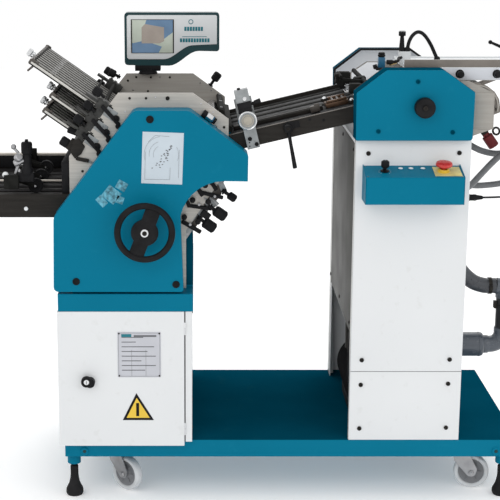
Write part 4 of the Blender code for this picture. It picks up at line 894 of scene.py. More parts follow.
def make_side_plate_detail():
    """Tapped holes, dowels and cap screws in the two side plates, and the ties between them."""
    front, inner, rear = 0.0549, 0.6509, 0.6631
    holes = Build()
    for x, z in ((-0.217, 1.388), (-0.163, 1.387), (-0.093, 1.387), (-0.248, 1.375), (-0.282, 1.353),
                 (-0.174, 1.336)):
        holes.screw((x, inner, z), -Y, 0.0042, 0.0012, 18)
    for x, z in ((-0.215, 1.384), (-0.161, 1.384), (0.096, 1.288), (-0.374, 1.141), (-0.392, 1.182)):
        holes.screw((x, front, z), -Y, 0.0044, 0.0012, 18)
    for x, z in ((-0.09, 1.384), (0.09, 1.23)):
        holes.screw((x, front, z), -Y, 0.0068, 0.0025)
    for x, z in ((-0.215, 1.384), (-0.091, 1.384), (0.08, 1.3), (0.09, 1.225), (-0.4, 1.1), (-0.4, 0.9),
                 (-0.4, 0.78), (-0.05, 0.78)):
        holes.screw((x, rear, z), Y, 0.006, 0.0025)
    holes.piece("plate_screws", "black_steel")
    dowels = Build()
    for x, z in ((-0.13, 1.388), (0.06, 1.338), (0.02, 1.366), (-0.23, 1.34)):
        dowels.rod((x, 0.65, z), (x, 0.651, z), 0.003, 18)
        dowels.rod((x, 0.054, z), (x, 0.0552, z), 0.0028, 18)
    dowels.piece("plate_dowels", "steel")
    # Painted shade: a darker teal skin over the lower guard, which stands in shadow behind the front side
    # plate.
    Build().slab([(-0.0603, 0.7445), (-0.0603, 0.928), (-0.056, 0.9323), (-0.021, 0.9323), (-0.0108, 0.928),
                  (-0.0067, 0.918), (-0.0067, 0.7445)], 0.0792, 0.6408, 0.001).piece("guard_painted_shade_skin", "deck")
    ties = Build()
    for x, z, radius in ((-0.385, 1.06, 0.01), (-0.385, 0.8, 0.012), (-0.06, 0.8, 0.012),
                         (0.088, 1.226, 0.006)):
        ties.rod((x, 0.0672, z), (x, 0.6508, z), radius, 24)
    ties.piece("head_ties", "steel")


def make_rollers():
    """The row of fold rollers between the side plates, knurled bands and all."""

    def roller(build, along, across=0, radius=0.019):
        """A banded roller with its journals, at a place along and across the row."""
        x, z = row_point(along, across)
        bands = []
        y = 0.0712
        while y < 0.64:
            bands += [(radius, y), (radius, y + 0.0385), (radius - 0.0009, y + 0.039),
                      (radius - 0.0009, y + 0.041)]
            y += 0.0414
        profile = [(0, 0.056), (0.0098, 0.056), (0.0098, 0.071), (radius - 0.0015, 0.071), *bands,
                   (radius, 0.646), (radius - 0.001, 0.6468), (0.0098, 0.6468), (0.0098, 0.662), (0, 0.662)]
        build.lathe(profile, (x, 0, z), Y, 36)
        return build

    for name, along in (("fold_roller_1", 0.147), ("fold_roller_2", 0.203), ("feed_roller", 0.395)):
        roller(Build(), along).piece(f"{name}_skin", "steel", name, (name,))
    fixed = Build()
    for along, across in ((0.0565, 0.01), (0.103, -0.012), (0.256, 0.006), (0.3, 0.02), (0.346, 0.004)):
        roller(fixed, along, across, 0.0185)
    fixed.piece("other_rollers", "steel")
    shaft = roller(Build(), 0)
    x, z = HANDWHEEL_AT
    shaft.rod((x, -0.0694, z), (x, 0.07, z), 0.01, 28)
    shaft.rod((x, 0.65, z), (x, 0.7125, z), 0.01, 28)
    shaft.lathe([(0.01, 0.681), (0.033, 0.681), (0.036, 0.683), (0.033, 0.686), (0.033, 0.7),
                 (0.036, 0.703), (0.033, 0.705), (0.01, 0.705), (0.01, 0.681)], (x, 0, z), Y, 48)
    shaft.piece("drive_shaft", "steel", "handwheel", ("drive_roller",))


def make_handwheel():
    """The handwheel: round rim, offset web with its wide boss, and the nut at its middle."""
    x, z = HANDWHEEL_AT
    at = Vector((x, -0.09, z))
    wheel = Build()
    wheel.ring(at, Y, 0.089, 0.0109, 72)
    wheel.lathe([(0.0104, 0.0215), (0.0104, 0.04), (0.029, 0.04), (0.033, 0.033), (0.0435, 0.006),
                 (0.045, 0), (0.0435, -0.004), (0.033, -0.0065), (0.024, -0.0075), (0, -0.0075),
                 (0, 0.0215), (0.0104, 0.0215)], at, Y, 60)
    lean = Matrix.Translation(at) @ Matrix.Rotation(radians(21), 4, "Y")
    web = [(-0.025, -0.085), (0.025, -0.085), (0.025, 0), (0.025, 0.085), (-0.025, 0.085), (-0.025, 0)]
    wheel.slab(web, -0.0045, 0.0045, 0.0018, lean)
    wheel.piece("handwheel_rim", "knob", "handwheel", ("handwheel",))
    Build().lathe([(0.008, -0.007), (0.008, -0.0118), (0.0125, -0.0118), (0.0136, -0.0105),
                   (0.0136, -0.007), (0.008, -0.007)], at, Y, 36).piece(
                       "handwheel_washer", "chrome", "handwheel")
    Build().screw(at + Y * -0.0072, -Y, 0.0078, 0.004).piece("handwheel_screw", "black_steel", "handwheel")


def make_fold_plates():
    """The three fold plates: bright bars, dark side rails, dark blocks of painted shade in the gaps between
    the bars, end lips, stops and their knobs.
    """
    front, back = 0.1, 0.62
    for number, (along, length) in enumerate(PLATE_ROWS, 1):
        place = row_frame(along)
        outer, inner = -length, -0.03
        bars, rods = Build(place), Build(place)
        count = 10
        pitch = (back - front - 0.024) / count
        for k in range(count):
            y = front + 0.012 + pitch * k
            bars.block((outer + 0.004, y + 0.004, 0.012), (inner - 0.008, y + 0.022, 0.016), 0.0014, None,
                       3)
        bars.block((inner - 0.032, front + 0.01, 0.0002), (inner, back - 0.01, 0.0048), 0.0016)
        bars.block((inner - 0.032, front + 0.01, 0.0112), (inner, back - 0.01, 0.0164), 0.0016)
        bars.piece(f"fold_plate_{number}_bars", "bar", "root", (f"fold_plate_{number}",))
        rods.block((outer + 0.001, front - 0.0002, 0.004), (inner - 0.004, front + 0.0122, 0.011), 0.001)
        rods.piece(f"fold_plate_{number}_rods", "rod")
        rails = Build(place)
        # Dark blocks that fill the gaps between the bars: painted shade for the gaps, which lie in shadow.
        for k in range(count):
            y = front + 0.012 + pitch * k
            rails.block((outer + 0.004, y + 0.024, 0.0002), (inner - 0.008, y + 0.049, 0.0148), 0.001)
        for y in (front, back - 0.012):
            rails.block((outer, y, -0.0004), (inner - 0.002, y + 0.012, 0.0126 if y > front else 0.005),
                        0.001)
        rails.block((outer, front + 0.004, 0.0002), (outer + 0.01, back - 0.004, 0.0164), 0.0012)
        rails.piece(f"fold_plate_{number}_rails", "soot")
        ends = Build(place)
        for k in range(count):
            y = front + 0.012 + pitch * k + 0.0442
            ends.slab([(outer - 0.001, -0.001), (outer - 0.005, 0.004), (outer - 0.005, 0.015),
                       (outer - 0.001, 0.0185), (outer + 0.004, 0.0165), (outer + 0.002, 0.006)], y - 0.018,
                      y + 0.018, 0.0008)
        for y in (front + 0.002, back - 0.01):
            ends.slab([(outer - 0.001, -0.002), (outer - 0.007, 0.002), (outer - 0.007, 0.017),
                       (outer - 0.001, 0.0205), (outer + 0.012, 0.0205), (outer + 0.016, 0.016)], y,
                      y + 0.006, 0.001)
        ends.piece(f"fold_plate_{number}_ends", "umber")
        pins = Build(place)
        for y in (front + 0.006, back - 0.006):
            pins.rod((outer + 0.014, y, 0.002), (outer + 0.007, y, -0.024), 0.0035, 16)
        pins.rod((outer + 0.02, front + 0.006, 0.015), (outer + 0.02, front + 0.006, 0.022), 0.0045, 18)
        pins.piece(f"fold_plate_{number}_pins", "umber")
        knob = Build(place)
        middle, up = 0.275, 0.008
        knob.knurled((outer - 0.034, middle, up), (outer - 0.018, middle, up), 0.014, 28, 0.0007)
        knob.lathe([(0, 0), (0.0115, 0), (0.0125, 0.002), (0.0125, 0.007), (0, 0.008)],
                   (outer - 0.0105, middle, up), -X, 32)
        knob.lathe([(0, 0), (0.008, 0), (0.008, 0.007), (0.0105, 0.0085), (0.0105, 0.0092),
                    (0, 0.0092)], (outer - 0.0006, middle, up), -X, 28)
        knob.rod((outer - 0.001, middle, up), (-0.13, middle, up), 0.0025, 14)
        knob.piece(f"stop_knob_{number}_grip", "chrome", f"stop_knob_{number}", (f"stop_knob_{number}",))
        stop = Build(place)
        x = outer + 0.07
        for k in range(count - 1):
            y = front + 0.0128 + pitch * (k + 1)
            stop.block((x + 0.002, y - 0.0014, 0.0046), (x + 0.02, y + 0.0014, 0.015), 0.0006)
        stop.piece(f"plate_stop_{number}_fingers", "steel", f"plate_stop_{number}")


def make_plate_hangers():
    """The clamps that hold each fold plate at the side plates, on both sides."""
    for number, row in enumerate(HANGER_ROWS, 1):
        place = row_frame(row)
        dark, clamps, knobs, bright, discs = (Build(place) for _ in range(5))
        for near, out in ((0.0545, -1), (0.6635, 1)):
            lever = near + out * 0.007
            dark.beam((-0.345, lever, 0.02), (-0.262, lever, 0), 0.012, 0.0125, 0.002)
            y0, y1 = sorted((near - out * 0.0005, near - out * 0.04))
            clamps.block((-0.366, y0, 0.002), (-0.306, y1, 0.036), 0.002)
            clamps.block((-0.352, y0 - 0.001, -0.02), (-0.326, y1 + 0.001, 0.004), 0.002)
            clamps.block((-0.41, y0, 0.019), (-0.36, y1, 0.027), 0.0015)
            for k in range(3):
                clamps.block((-0.362 + 0.018 * k, y0 - 0.0015, 0.034),
                             (-0.352 + 0.018 * k, y1 + 0.0015, 0.039), 0.001)
            y0, y1 = sorted((near - out * 0.004, near + out * 0.0005))
            bright.block((-0.326, y0, -0.004), (-0.286, y1, 0.03), 0.0012)
            knob = near + out * 0.004
            knobs.knurled((-0.398, knob, 0.05), (-0.366, knob, 0.05), 0.015, 18, 0.0012)
            knobs.rod((-0.368, knob, 0.05), (-0.352, knob, 0.046), 0.005, 18)
            y0 = near + out * 0.0003
            y1 = near + out * 0.01
            discs.lathe([(0, 0.0098), (0.005, 0.0098), (0.0055, 0.0085), (0.0105, 0.0085),
                         (0.0118, 0.007), (0.012, 0), (0, 0)], (-0.282, y0, 0.01), Y * out, 36)
            discs.screw((-0.282, y1, 0.01), Y * out, 0.005, 0.003)
            discs.lathe([(0, 0.007), (0.008, 0.007), (0.0092, 0.0055), (0.0092, 0), (0, 0)],
                        (-0.262, y0, -0.006), Y * out, 30)
        dark.piece(f"plate_hanger_{number}", "black")
        clamps.piece(f"plate_clamps_{number}", "graphite")
        bright.piece(f"plate_hanger_faces_{number}", "worn_steel")
        knobs.piece(f"plate_clamp_knobs_{number}", "knob")
        discs.piece(f"plate_pivots_{number}", "black")
    bars = Build()
    for row in HANGER_ROWS:
        bars.place = row_frame(row)
        bars.rod((-0.34, 0.08, 0.03), (-0.34, 0.64, 0.03), 0.007, 22)
        bars.rod((-0.385, 0.095, 0.028), (-0.385, 0.625, 0.028), 0.0045, 18)
    bars.piece("hanger_cross_bars", "soot")


def adjuster(build, at, direction, length=0.034, radius=0.015, stem=0.022, stem_radius=0.0055, teeth=18):
    """A grip on a stem: the stem runs from a point, the grip follows it."""
    run = Vector(direction).normalized()
    at = Vector(at)
    build.rod(at, at + run * (stem + 0.002), stem_radius, 18)
    build.lathe([(0, 0), (stem_radius * 1.7, 0), (stem_radius * 1.9, 0.004), (stem_radius, 0.006),
                 (0, 0.006)], at + run * stem * 0.25, run, 24)
    build.knurled(at + run * stem, at + run * (stem + length), radius, teeth, 0.0012)


def make_corner_knobs():
    """The adjusting knobs at the fold head's corners, with their blocks and screws."""
    knobs = Build()
    adjuster(knobs, (-0.276, 0.657, 1.386), (-0.8, 0, 0.42), 0.028, 0.015, 0.02)
    adjuster(knobs, (0.052, 0.657, 1.35), (0.56, 0, 0.8), 0.034, 0.0155, 0.03)
    for y in (0.085, 0.63):
        adjuster(knobs, (-0.398, y, 1.212), (-0.82, 0, 0.52), 0.032, 0.0165, 0.026)
    adjuster(knobs, (-0.377, 0.068, 1.262), (-0.84, 0, 0.32), 0.036, 0.0105, 0.012)
    knobs.piece("corner_knobs", "knob")
    blocks = Build()
    for y in (0.084, 0.632):
        blocks.beam((-0.42, y, 1.232), (-0.362, y, 1.19), 0.026, 0.04, 0.003)
        blocks.beam((-0.4, y, 1.2), (-0.385, y, 1.176), 0.022, 0.026, 0.002)
        blocks.beam((-0.385, y, 1.25), (-0.35, y, 1.225), 0.02, 0.022, 0.002)
    blocks.rod((-0.388, 0.08, 1.206), (-0.388, 0.64, 1.206), 0.008, 22)
    blocks.rod((-0.405, 0.08, 1.222), (-0.405, 0.64, 1.222), 0.005, 18)
    for y0, y1 in ((0.0475, 0.054), (0.664, 0.67)):
        blocks.slab([(-0.412, 1.204), (-0.402, 1.244), (-0.384, 1.252), (-0.364, 1.224), (-0.376, 1.2),
                     (-0.398, 1.184)], y0, y1, 0.0015)
        blocks.beam((-0.392, (y0 + y1) / 2, 1.184), (-0.352, (y0 + y1) / 2, 1.176), y1 - y0, 0.012, 0.0015)
    blocks.piece("corner_blocks", "black_steel")
    bright = Build()
    bright.lathe([(0, 0.006), (0.005, 0.006), (0.0065, 0.004), (0.0065, 0), (0, 0)],
                 (-0.392, 0.07, 1.199), -Y, 24)
    bright.beam((-0.372, 0.068, 1.246), (-0.352, 0.068, 1.214), 0.004, 0.02, 0.001)
    bright.rod((-0.366, 0.0535, 1.186), (-0.332, 0.0535, 1.164), 0.0022, 14)
    bright.rod((-0.36, 0.0535, 1.178), (-0.336, 0.0535, 1.163), 0.0022, 14)
    bright.piece("corner_screws", "worn_steel")


def make_register_head():
    """Where the infeed table meets the fold head: roller cover, sheet nip and its bearing cap."""
    near, far = Vector((0.028, 0.044, 1.336)), Vector((0.068, 0.044, 1.308))
    for name, look, start, end, radius in (("nip_bearing", "chrome", 0.24, 0.74, 0.0128),
                                           ("nip_collar", "black", -0.06, 0.24, 0.0128),
                                           ("nip_band", "blue", 0.74, 0.8, 0.012),
                                           ("nip_cap", "black", 0.8, 1.0, 0.0105)):
        Build().rod(near.lerp(far, start), near.lerp(far, end), radius, 32).piece(name, look)
    mouth = Build()
    mouth.slab([(0.082, 1.286), (0.078, 1.322), (0.084, 1.33), (0.096, 1.326), (0.104, 1.306),
                (0.102, 1.288)], 0.2, 0.643, 0.003)
    mouth.slab([(0.1, 1.268), (0.1, 1.292), (0.124, 1.286), (0.124, 1.272)], 0.075, 0.643, 0.001)
    mouth.piece("nip_cover", "soot")
    screws = Build()
    for y in (0.25, 0.42, 0.61):
        screws.screw((0.09, y, 1.328), (0.2, 0, 0.98), 0.005, 0.003)
    screws.piece("nip_screws", "zinc")


def make_lower_group():
    """The deflector clamps below the roller row: knobs, black levers that partly stand as painted shade,
    and bright brackets.
    """
    knobs = Build()
    for y in (0.05, 0.668):
        for x, z, length, radius in ((0.064, 1.012, 0.046, 0.0185), (0.028, 0.972, 0.046, 0.0185),
                                     (0.11, 1.064, 0.03, 0.0135)):
            adjuster(knobs, (x - 0.02, y, z + 0.014), (0.82, 0, -0.573), length, radius, 0.026, 0.006, 22)
    knobs.piece("deflector_knobs", "knob")
    bright = Build()
    for y in (0.06, 0.656):
        for outline in (((-0.03, 1.08), (-0.004, 1.098), (0.02, 1.06), (0.004, 1.03)),
                        ((0.03, 1.036), (0.058, 1.052), (0.082, 1.03), (0.05, 1.006)),
                        ((0.074, 1.104), (0.092, 1.108), (0.108, 1.074), (0.092, 1.06)),
                        ((-0.04, 0.996), (-0.022, 1.026), (0.01, 0.99), (-0.014, 0.962)),
                        ((-0.045, 0.938), (-0.038, 0.96), (-0.006, 0.944), (-0.028, 0.91), (-0.045, 0.905)),
                        ((0, 1.006), (0.026, 1.028), (0.044, 1.004), (0.018, 0.984))):
            bright.slab(outline, y - 0.003, y + 0.003, 0.001)
    bright.piece("deflector_brackets", "worn_steel")
    inner = Build()
    for y in (0.0655, 0.6505):
        inner.slab([(-0.044, 0.916), (-0.034, 1.06), (0.01, 1.112), (0.094, 1.116), (0.088, 1.06),
                    (0.04, 1.0), (0.004, 0.95)], y - 0.0015, y + 0.0015, 0.0006)
    inner.piece("deflector_plates", "umber")
    # Black levers and caps: partly the real levers, partly painted shade that darkens the deflector group.
    dark = Build()
    for y in (0.05, 0.666):
        for x0, z0, x1, z1, width, depth in ((-0.044, 0.972, 0.02, 0.934, 0.012, 0.014),
                                             (-0.026, 1.026, 0.056, 1.014, 0.01, 0.012),
                                             (0.012, 1.072, 0.094, 1.052, 0.01, 0.013),
                                             (-0.034, 1.058, -0.018, 1.02, 0.012, 0.013),
                                             (0, 1.1, 0.026, 1.058, 0.012, 0.014),
                                             (0.05, 1.112, 0.072, 1.078, 0.012, 0.014),
                                             (0.022, 1.004, 0.048, 0.984, 0.014, 0.024)):
            dark.beam((x0, y, z0), (x1, y, z1), width, depth, 0.003)
        for x, z in ((-0.036, 0.988), (-0.008, 1.046), (0.034, 1.096), (0.01, 0.972), (0.044, 1.04)):
            dark.lathe([(0, 0.008), (0.006, 0.008), (0.0095, 0.006), (0.0095, 0), (0, 0)],
                       (x, y - 0.006, z), -Y, 26)
    dark.piece("deflector_levers_and_shade", "black")
    wires = Build()
    for k in range(2):
        wires.tube([(0.03 + 0.02 * k, 0.056, 1.052), (0.052 + 0.02 * k, 0.05, 1.03),
                    (0.06 + 0.012 * k, 0.052, 0.998)], 0.0022, 10)
    wires.piece("deflector_springs", "zinc")
    bolts = Build()
    for y in (0.0435, 0.6725):
        for x, z in ((-0.016, 0.962), (0.014, 1.03), (0.066, 1.058), (-0.026, 0.93)):
            bolts.screw((x, y, z), -Y if y < 0.3 else Y, 0.0048, 0.003)
    bolts.piece("deflector_screws", "zinc")


# ---------------------------------------------------------------- display
def make_display():
    """The display: pale face, screen with a plain picture, print-like marks, mount and lead."""
    place = Matrix.Translation((-0.173, 0.652, 1.4318))
    front = -0.0222
    left, right, top, low, wing = -0.076, 0.253, 0.184, 0.024, 0.075
    sweep = [(0.057 + 0.11 * k / 12, low + (wing - low) * (0.5 - 0.5 * cos(pi * k / 12)))
             for k in range(13)]
    outline = [(right, wing + 0.004), (right, top - 0.004), (right - 0.004, top), (left + 0.006, top),
               (left, top - 0.006), (left, low + 0.006), (left + 0.006, low)] + sweep
    Build(place).slab(outline, front - 0.0022, front + 0.0006, 0.0009).piece(
        "display_face", "label", "display_panel")
    frame_x, frame_z = (-0.057, 0.092), (0.048, 0.167)
    ring = Build(place)
    for lo, hi in (((frame_x[0] - 0.004, frame_z[0] - 0.0018), (frame_x[1] + 0.004, frame_z[0])),
                   ((frame_x[0] - 0.004, frame_z[1]), (frame_x[1] + 0.004, frame_z[1] + 0.0018)),
                   ((frame_x[0] - 0.004, frame_z[0]), (frame_x[0], frame_z[1])),
                   ((frame_x[1], frame_z[0]), (frame_x[1] + 0.004, frame_z[1]))):
        ring.block((lo[0], front - 0.0042, lo[1]), (hi[0], front - 0.0018, hi[1]), 0.0006)
    ring.piece("screen_frame", "black_steel", "display_panel")
    pale = Build(place)
    pale.block((frame_x[0], front - 0.003, frame_z[0]), (frame_x[1], front - 0.0018, frame_z[1]), 0.0002)
    pale.piece("screen_ground", "screen_pale", "display_panel")
    blue = Build(place)
    for shape in (((-0.004, 0.167), (0.092, 0.167), (0.092, 0.122), (0.06, 0.098), (-0.01, 0.15)),
                  ((-0.057, 0.048), (-0.057, 0.082), (-0.012, 0.092), (0.052, 0.07), (0.04, 0.048))):
        blue.slab(shape, front - 0.0033, front - 0.0028, 0)
    blue.piece("screen_shapes", "screen_blue", "display_panel")
    Build(place).slab([(-0.022, 0.082), (-0.022, 0.14), (-0.01, 0.152), (0.06, 0.14), (0.06, 0.09),
                       (0.044, 0.082)],
                      front - 0.0036, front - 0.003, 0).piece(
                          "screen_block", "screen_sand", "display_panel")
    teal = Build(place)
    for x, z, wide, tall in ((0.134, 0.127, 0.07, 0.015), (0.118, 0.086, 0.11, 0.014),
                             (0.126, 0.105, 0.09, 0.0022)):
        for k in range(round(wide / 0.01)):
            teal.block((x + 0.01 * k, front - 0.0026, z), (x + 0.01 * k + (0.008 if tall > 0.005 else 0.01),
                                                           front - 0.002, z + tall), 0.0001)
    teal.rod((0.158, front - 0.0026, 0.16), (0.158, front - 0.002, 0.16), 0.009, 32, 0)
    teal.piece("display_marks", "teal_ink", "display_panel")
    Build(place).rod((0.158, front - 0.003, 0.16), (0.158, front - 0.0024, 0.16), 0.0062, 32, 0).piece(
        "display_mark_middle", "label", "display_panel")
    mount = Build(place)
    mount.block((-0.0476, -0.0216, -0.0196), (0.0466, 0.0296, 0.0026), 0.003)
    mount.lathe([(0, -0.0305), (0.0345, -0.0305), (0.0345, -0.027), (0.032, -0.024), (0.032, -0.0115),
                 (0, -0.0115)], (0, 0, 0), Z, 40)
    mount.piece("display_mount", "black", "display_panel")
    rear = Build(place)
    rear.block((-0.06, 0.0298, 0.03), (0.11, 0.0308, 0.16), 0.0004)
    for k in range(8):
        rear.block((-0.045 + 0.018 * k, 0.0304, 0.06), (-0.037 + 0.018 * k, 0.0318, 0.13), 0.0006)
    rear.piece("display_back", "bezel", "display_panel")
    Build().tube([(-0.173, 0.664, 1.396), (-0.173, 0.684, 1.3955), (-0.173, 0.696, 1.386),
                  (-0.173, 0.698, 1.362)], 0.004, 12).piece("display_lead", "rubber")


# ---------------------------------------------------------------- delivery
def make_delivery():
    """The delivery's belts, strips and walls, its press wheels and their adjusting post."""
    wheel_x, wheel_z = -0.541, BELT_TOP + 0.0255
    pivot_x, pivot_z = -0.615, 1.1
    belts = Build()
    for y in (0.105, 0.185, 0.265, 0.345, 0.425, 0.505, 0.585):
        belts.block((-0.905, y, BELT_TOP - 0.0036), (-0.4225, y + 0.046, BELT_TOP - 0.0008), 0.001)
        belts.lathe([(0.0182, 0), (0.0202, 0), (0.0202, 0.046), (0.0182, 0.046), (0.0182, 0)],
                    (-0.902, y, BELT_TOP - 0.022), Y, 40)
    belts.piece("delivery_belts", "belt")
    strips = Build()
    strips.block((-0.925, 0.6434, 1.0955), (-0.419, 0.6628, 1.1045), 0.001)
    strips.rod((-0.925, 0.25, 1.0735), (-0.421, 0.25, 1.0735), 0.0042, 24)
    strips.piece("delivery_strips", "cream")
    wall = Build()
    wall.block((-0.925, 0.644, 1.052), (-0.42, 0.6505, 1.1), 0.001)
    wall.block((-0.445, 0.068, 1.052), (-0.42, 0.65, 1.17), 0.002)
    wall.piece("delivery_walls", "black")
    dark = Build()
    for y in PRESS_ROWS:
        for arm in (y - 0.016, y + 0.016):
            dark.beam((pivot_x, arm, pivot_z), (wheel_x, arm, wheel_z), 0.004, 0.012, 0.001)
        dark.block((-0.627, y - 0.024, 1.088), (-0.603, y + 0.024, 1.112), 0.002)
    dark.block((-0.64, 0.07, 1.076), (-0.59, 0.094, 1.124), 0.003)
    dark.block((-0.64, 0.632, 1.076), (-0.59, 0.65, 1.124), 0.003)
    dark.piece("press_arms", "soot")
    rods = Build()
    rods.rod((pivot_x, 0.08, pivot_z), (pivot_x, 0.64, pivot_z), 0.0075, 24)
    for y in PRESS_ROWS:
        rods.rod((wheel_x, y - 0.019, wheel_z), (wheel_x, y + 0.019, wheel_z), 0.004, 18)
    rods.piece("press_rods", "steel")
    wheel = [(0.0044, 0.0095), (0.01, 0.0095), (0.011, 0.0075), (0.019, 0.0075), (0.021, 0.009),
             (0.0242, 0.009), (0.025, 0.0075)]
    ring = wheel + [(r, -h) for r, h in reversed(wheel)] + [wheel[0]]
    Build().lathe(ring, (wheel_x, PRESS_ROWS[0], wheel_z), Y, 44).piece(
        "press_wheel_tyre", "rubber", "press_wheel", ("press_wheel",))
    others = Build()
    for y in PRESS_ROWS[1:]:
        others.lathe(ring, (wheel_x, y, wheel_z), Y, 44)
    others.piece("press_wheels_fixed", "rubber")
    post = Build()
    post.lathe([(0, 0), (0.02, 0), (0.0195, 0.016), (0.015, 0.024), (0.014, 0.066), (0.0185, 0.072),
                (0.0185, 0.104), (0.0155, 0.108), (0, 0.108)], (-0.563, 0.1, 1.124), Z, 36)
    post.knurled((-0.563, 0.1, 1.196), (-0.563, 0.1, 1.23), 0.019, 16, 0.0014)
    post.rod((-0.563, 0.1, 1.228), (-0.563, 0.1, 1.241), 0.006, 20)
    post.block((-0.6, 0.086, 1.098), (-0.54, 0.114, 1.13), 0.004)
    post.block((-0.592, 0.09, 1.16), (-0.56, 0.11, 1.176), 0.003)
    post.piece("delivery_post", "black")
    bright = Build()
    bright.rod((-0.606, 0.1, 1.158), (-0.572, 0.1, 1.172), 0.011, 28)
    bright.lathe([(0, 0.01), (0.01, 0.01), (0.014, 0.006), (0.014, -0.006), (0.01, -0.01), (0, -0.01)],
                 (-0.59, 0.088, 1.181), (0.5, -0.7, 0.5), 32)
    bright.rod((-0.606, 0.1, 1.212), (-0.59, 0.1, 1.194), 0.0048, 18)
    bright.ball((-0.607, 0.1, 1.216), 0.009)
    bright.rod((-0.602, 0.1, 1.124), (-0.594, 0.1, 1.15), 0.0055, 20)
    bright.piece("delivery_post_bright", "zinc")
    ball = Build()
    ball.ball((-0.635, 0.086, 1.123), 0.0105)
    ball.lathe([(0, 0.0045), (0.005, 0.0045), (0.0068, 0.0025), (0.0068, 0), (0, 0)],
               (-0.565, 0.0548, 1.014), -Y, 26)
    ball.piece("delivery_caps", "label")
    small = Build()
    for x in (-0.78, -0.88, -0.455):
        small.screw((x, 0.0548, 1.014), -Y, 0.005, 0.002)
        small.screw((x, 0.6632, 1.014), Y, 0.005, 0.002)
    small.piece("delivery_screws", "black_steel")


# ---------------------------------------------------------------- infeed table
def make_infeed():
    """The register table: bed, belts, register rail with its balls, edge lines and feed bridge."""
    Build(TABLE).block((0.006, 0.0675, -0.0142), (0.45, 0.6505, -0.012), 0.0006).piece(
        "register_bed", "black")
    belts = Build(TABLE)
    for y in (0.11, 0.3, 0.4, 0.5, 0.59):
        belts.block((0.01, y, -0.0122), (0.446, y + 0.034, -0.0098), 0.0008)
    belts.piece("register_belts", "soot")
    rail = Build(TABLE)
    rail.block((0.02, 0.205, -0.0122), (0.33, 0.24, 0.001), 0.0012)
    rail.block((0.018, 0.262, -0.0122), (0.325, 0.27, -0.002), 0.001)
    rail.piece("register_rail", "black_steel")
    lines = Build(TABLE)
    lines.block((0, 0.0546, -0.0012), (0.454, 0.056, 0.0004), 0.0004)
    lines.block((0, 0.0662, -0.001), (0.454, 0.0676, 0.0003), 0.0003)
    lines.piece("register_edges", "beige")
    balls, cage = Build(TABLE), Build(TABLE)
    for at in ((0.343, 0.25, 0.016), (0.429, 0.2, -0.0115 + 0.0085)):
        balls.ball(at, 0.0085)
        cage.lathe([(0.009, 0), (0.012, 0), (0.012, 0.01), (0.009, 0.01), (0.009, 0)],
                   (at[0], at[1], at[2] - 0.0075), Z, 26)
    balls.piece("register_balls", "chrome")
    cage.block((0.048, 0.213, 0.001), (0.318, 0.231, 0.0032), 0.001)
    cage.piece("ball_cage", "black_steel")
    copper = Build(TABLE)
    copper.block((0.342, 0.21, -0.012), (0.42, 0.33, 0.003), 0.0015)
    copper.block((0.346, 0.212, 0.003), (0.416, 0.22, 0.012), 0.0015)
    copper.block((0.346, 0.3, 0.003), (0.416, 0.312, 0.012), 0.0015)
    copper.piece("feed_bridge", "copper")
    bits = Build(TABLE)
    for k in range(4):
        bits.rod((0.352 + 0.018 * k, 0.224, 0.006), (0.352 + 0.018 * k, 0.296, 0.006), 0.0045, 20)
    bits.rod((0.3, 0.18, 0.01), (0.318, 0.18, 0.01), 0.008, 24)
    bits.block((0.286, 0.17, -0.01), (0.318, 0.196, 0.012), 0.003)
    bits.piece("feed_bridge_rollers", "umber")
    slots = Build(TABLE)
    for x, up in ((0.2705, -0.0109), (0.3148, -0.0235)):
        slots.rod((x, 0.054, up), (x, 0.0552, up), 0.0046, 20, 0.0002)
        slots.rod((x, 0.6628, up), (x, 0.664, up), 0.0046, 20, 0.0002)
    slots.rod((0.2, 0.0505, -0.018), (0.2, 0.0552, -0.018), 0.018, 32)
    slots.block((0.18, 0.0535, -0.028), (0.235, 0.055, -0.006), 0.003)
    slots.piece("rail_fittings", "black")


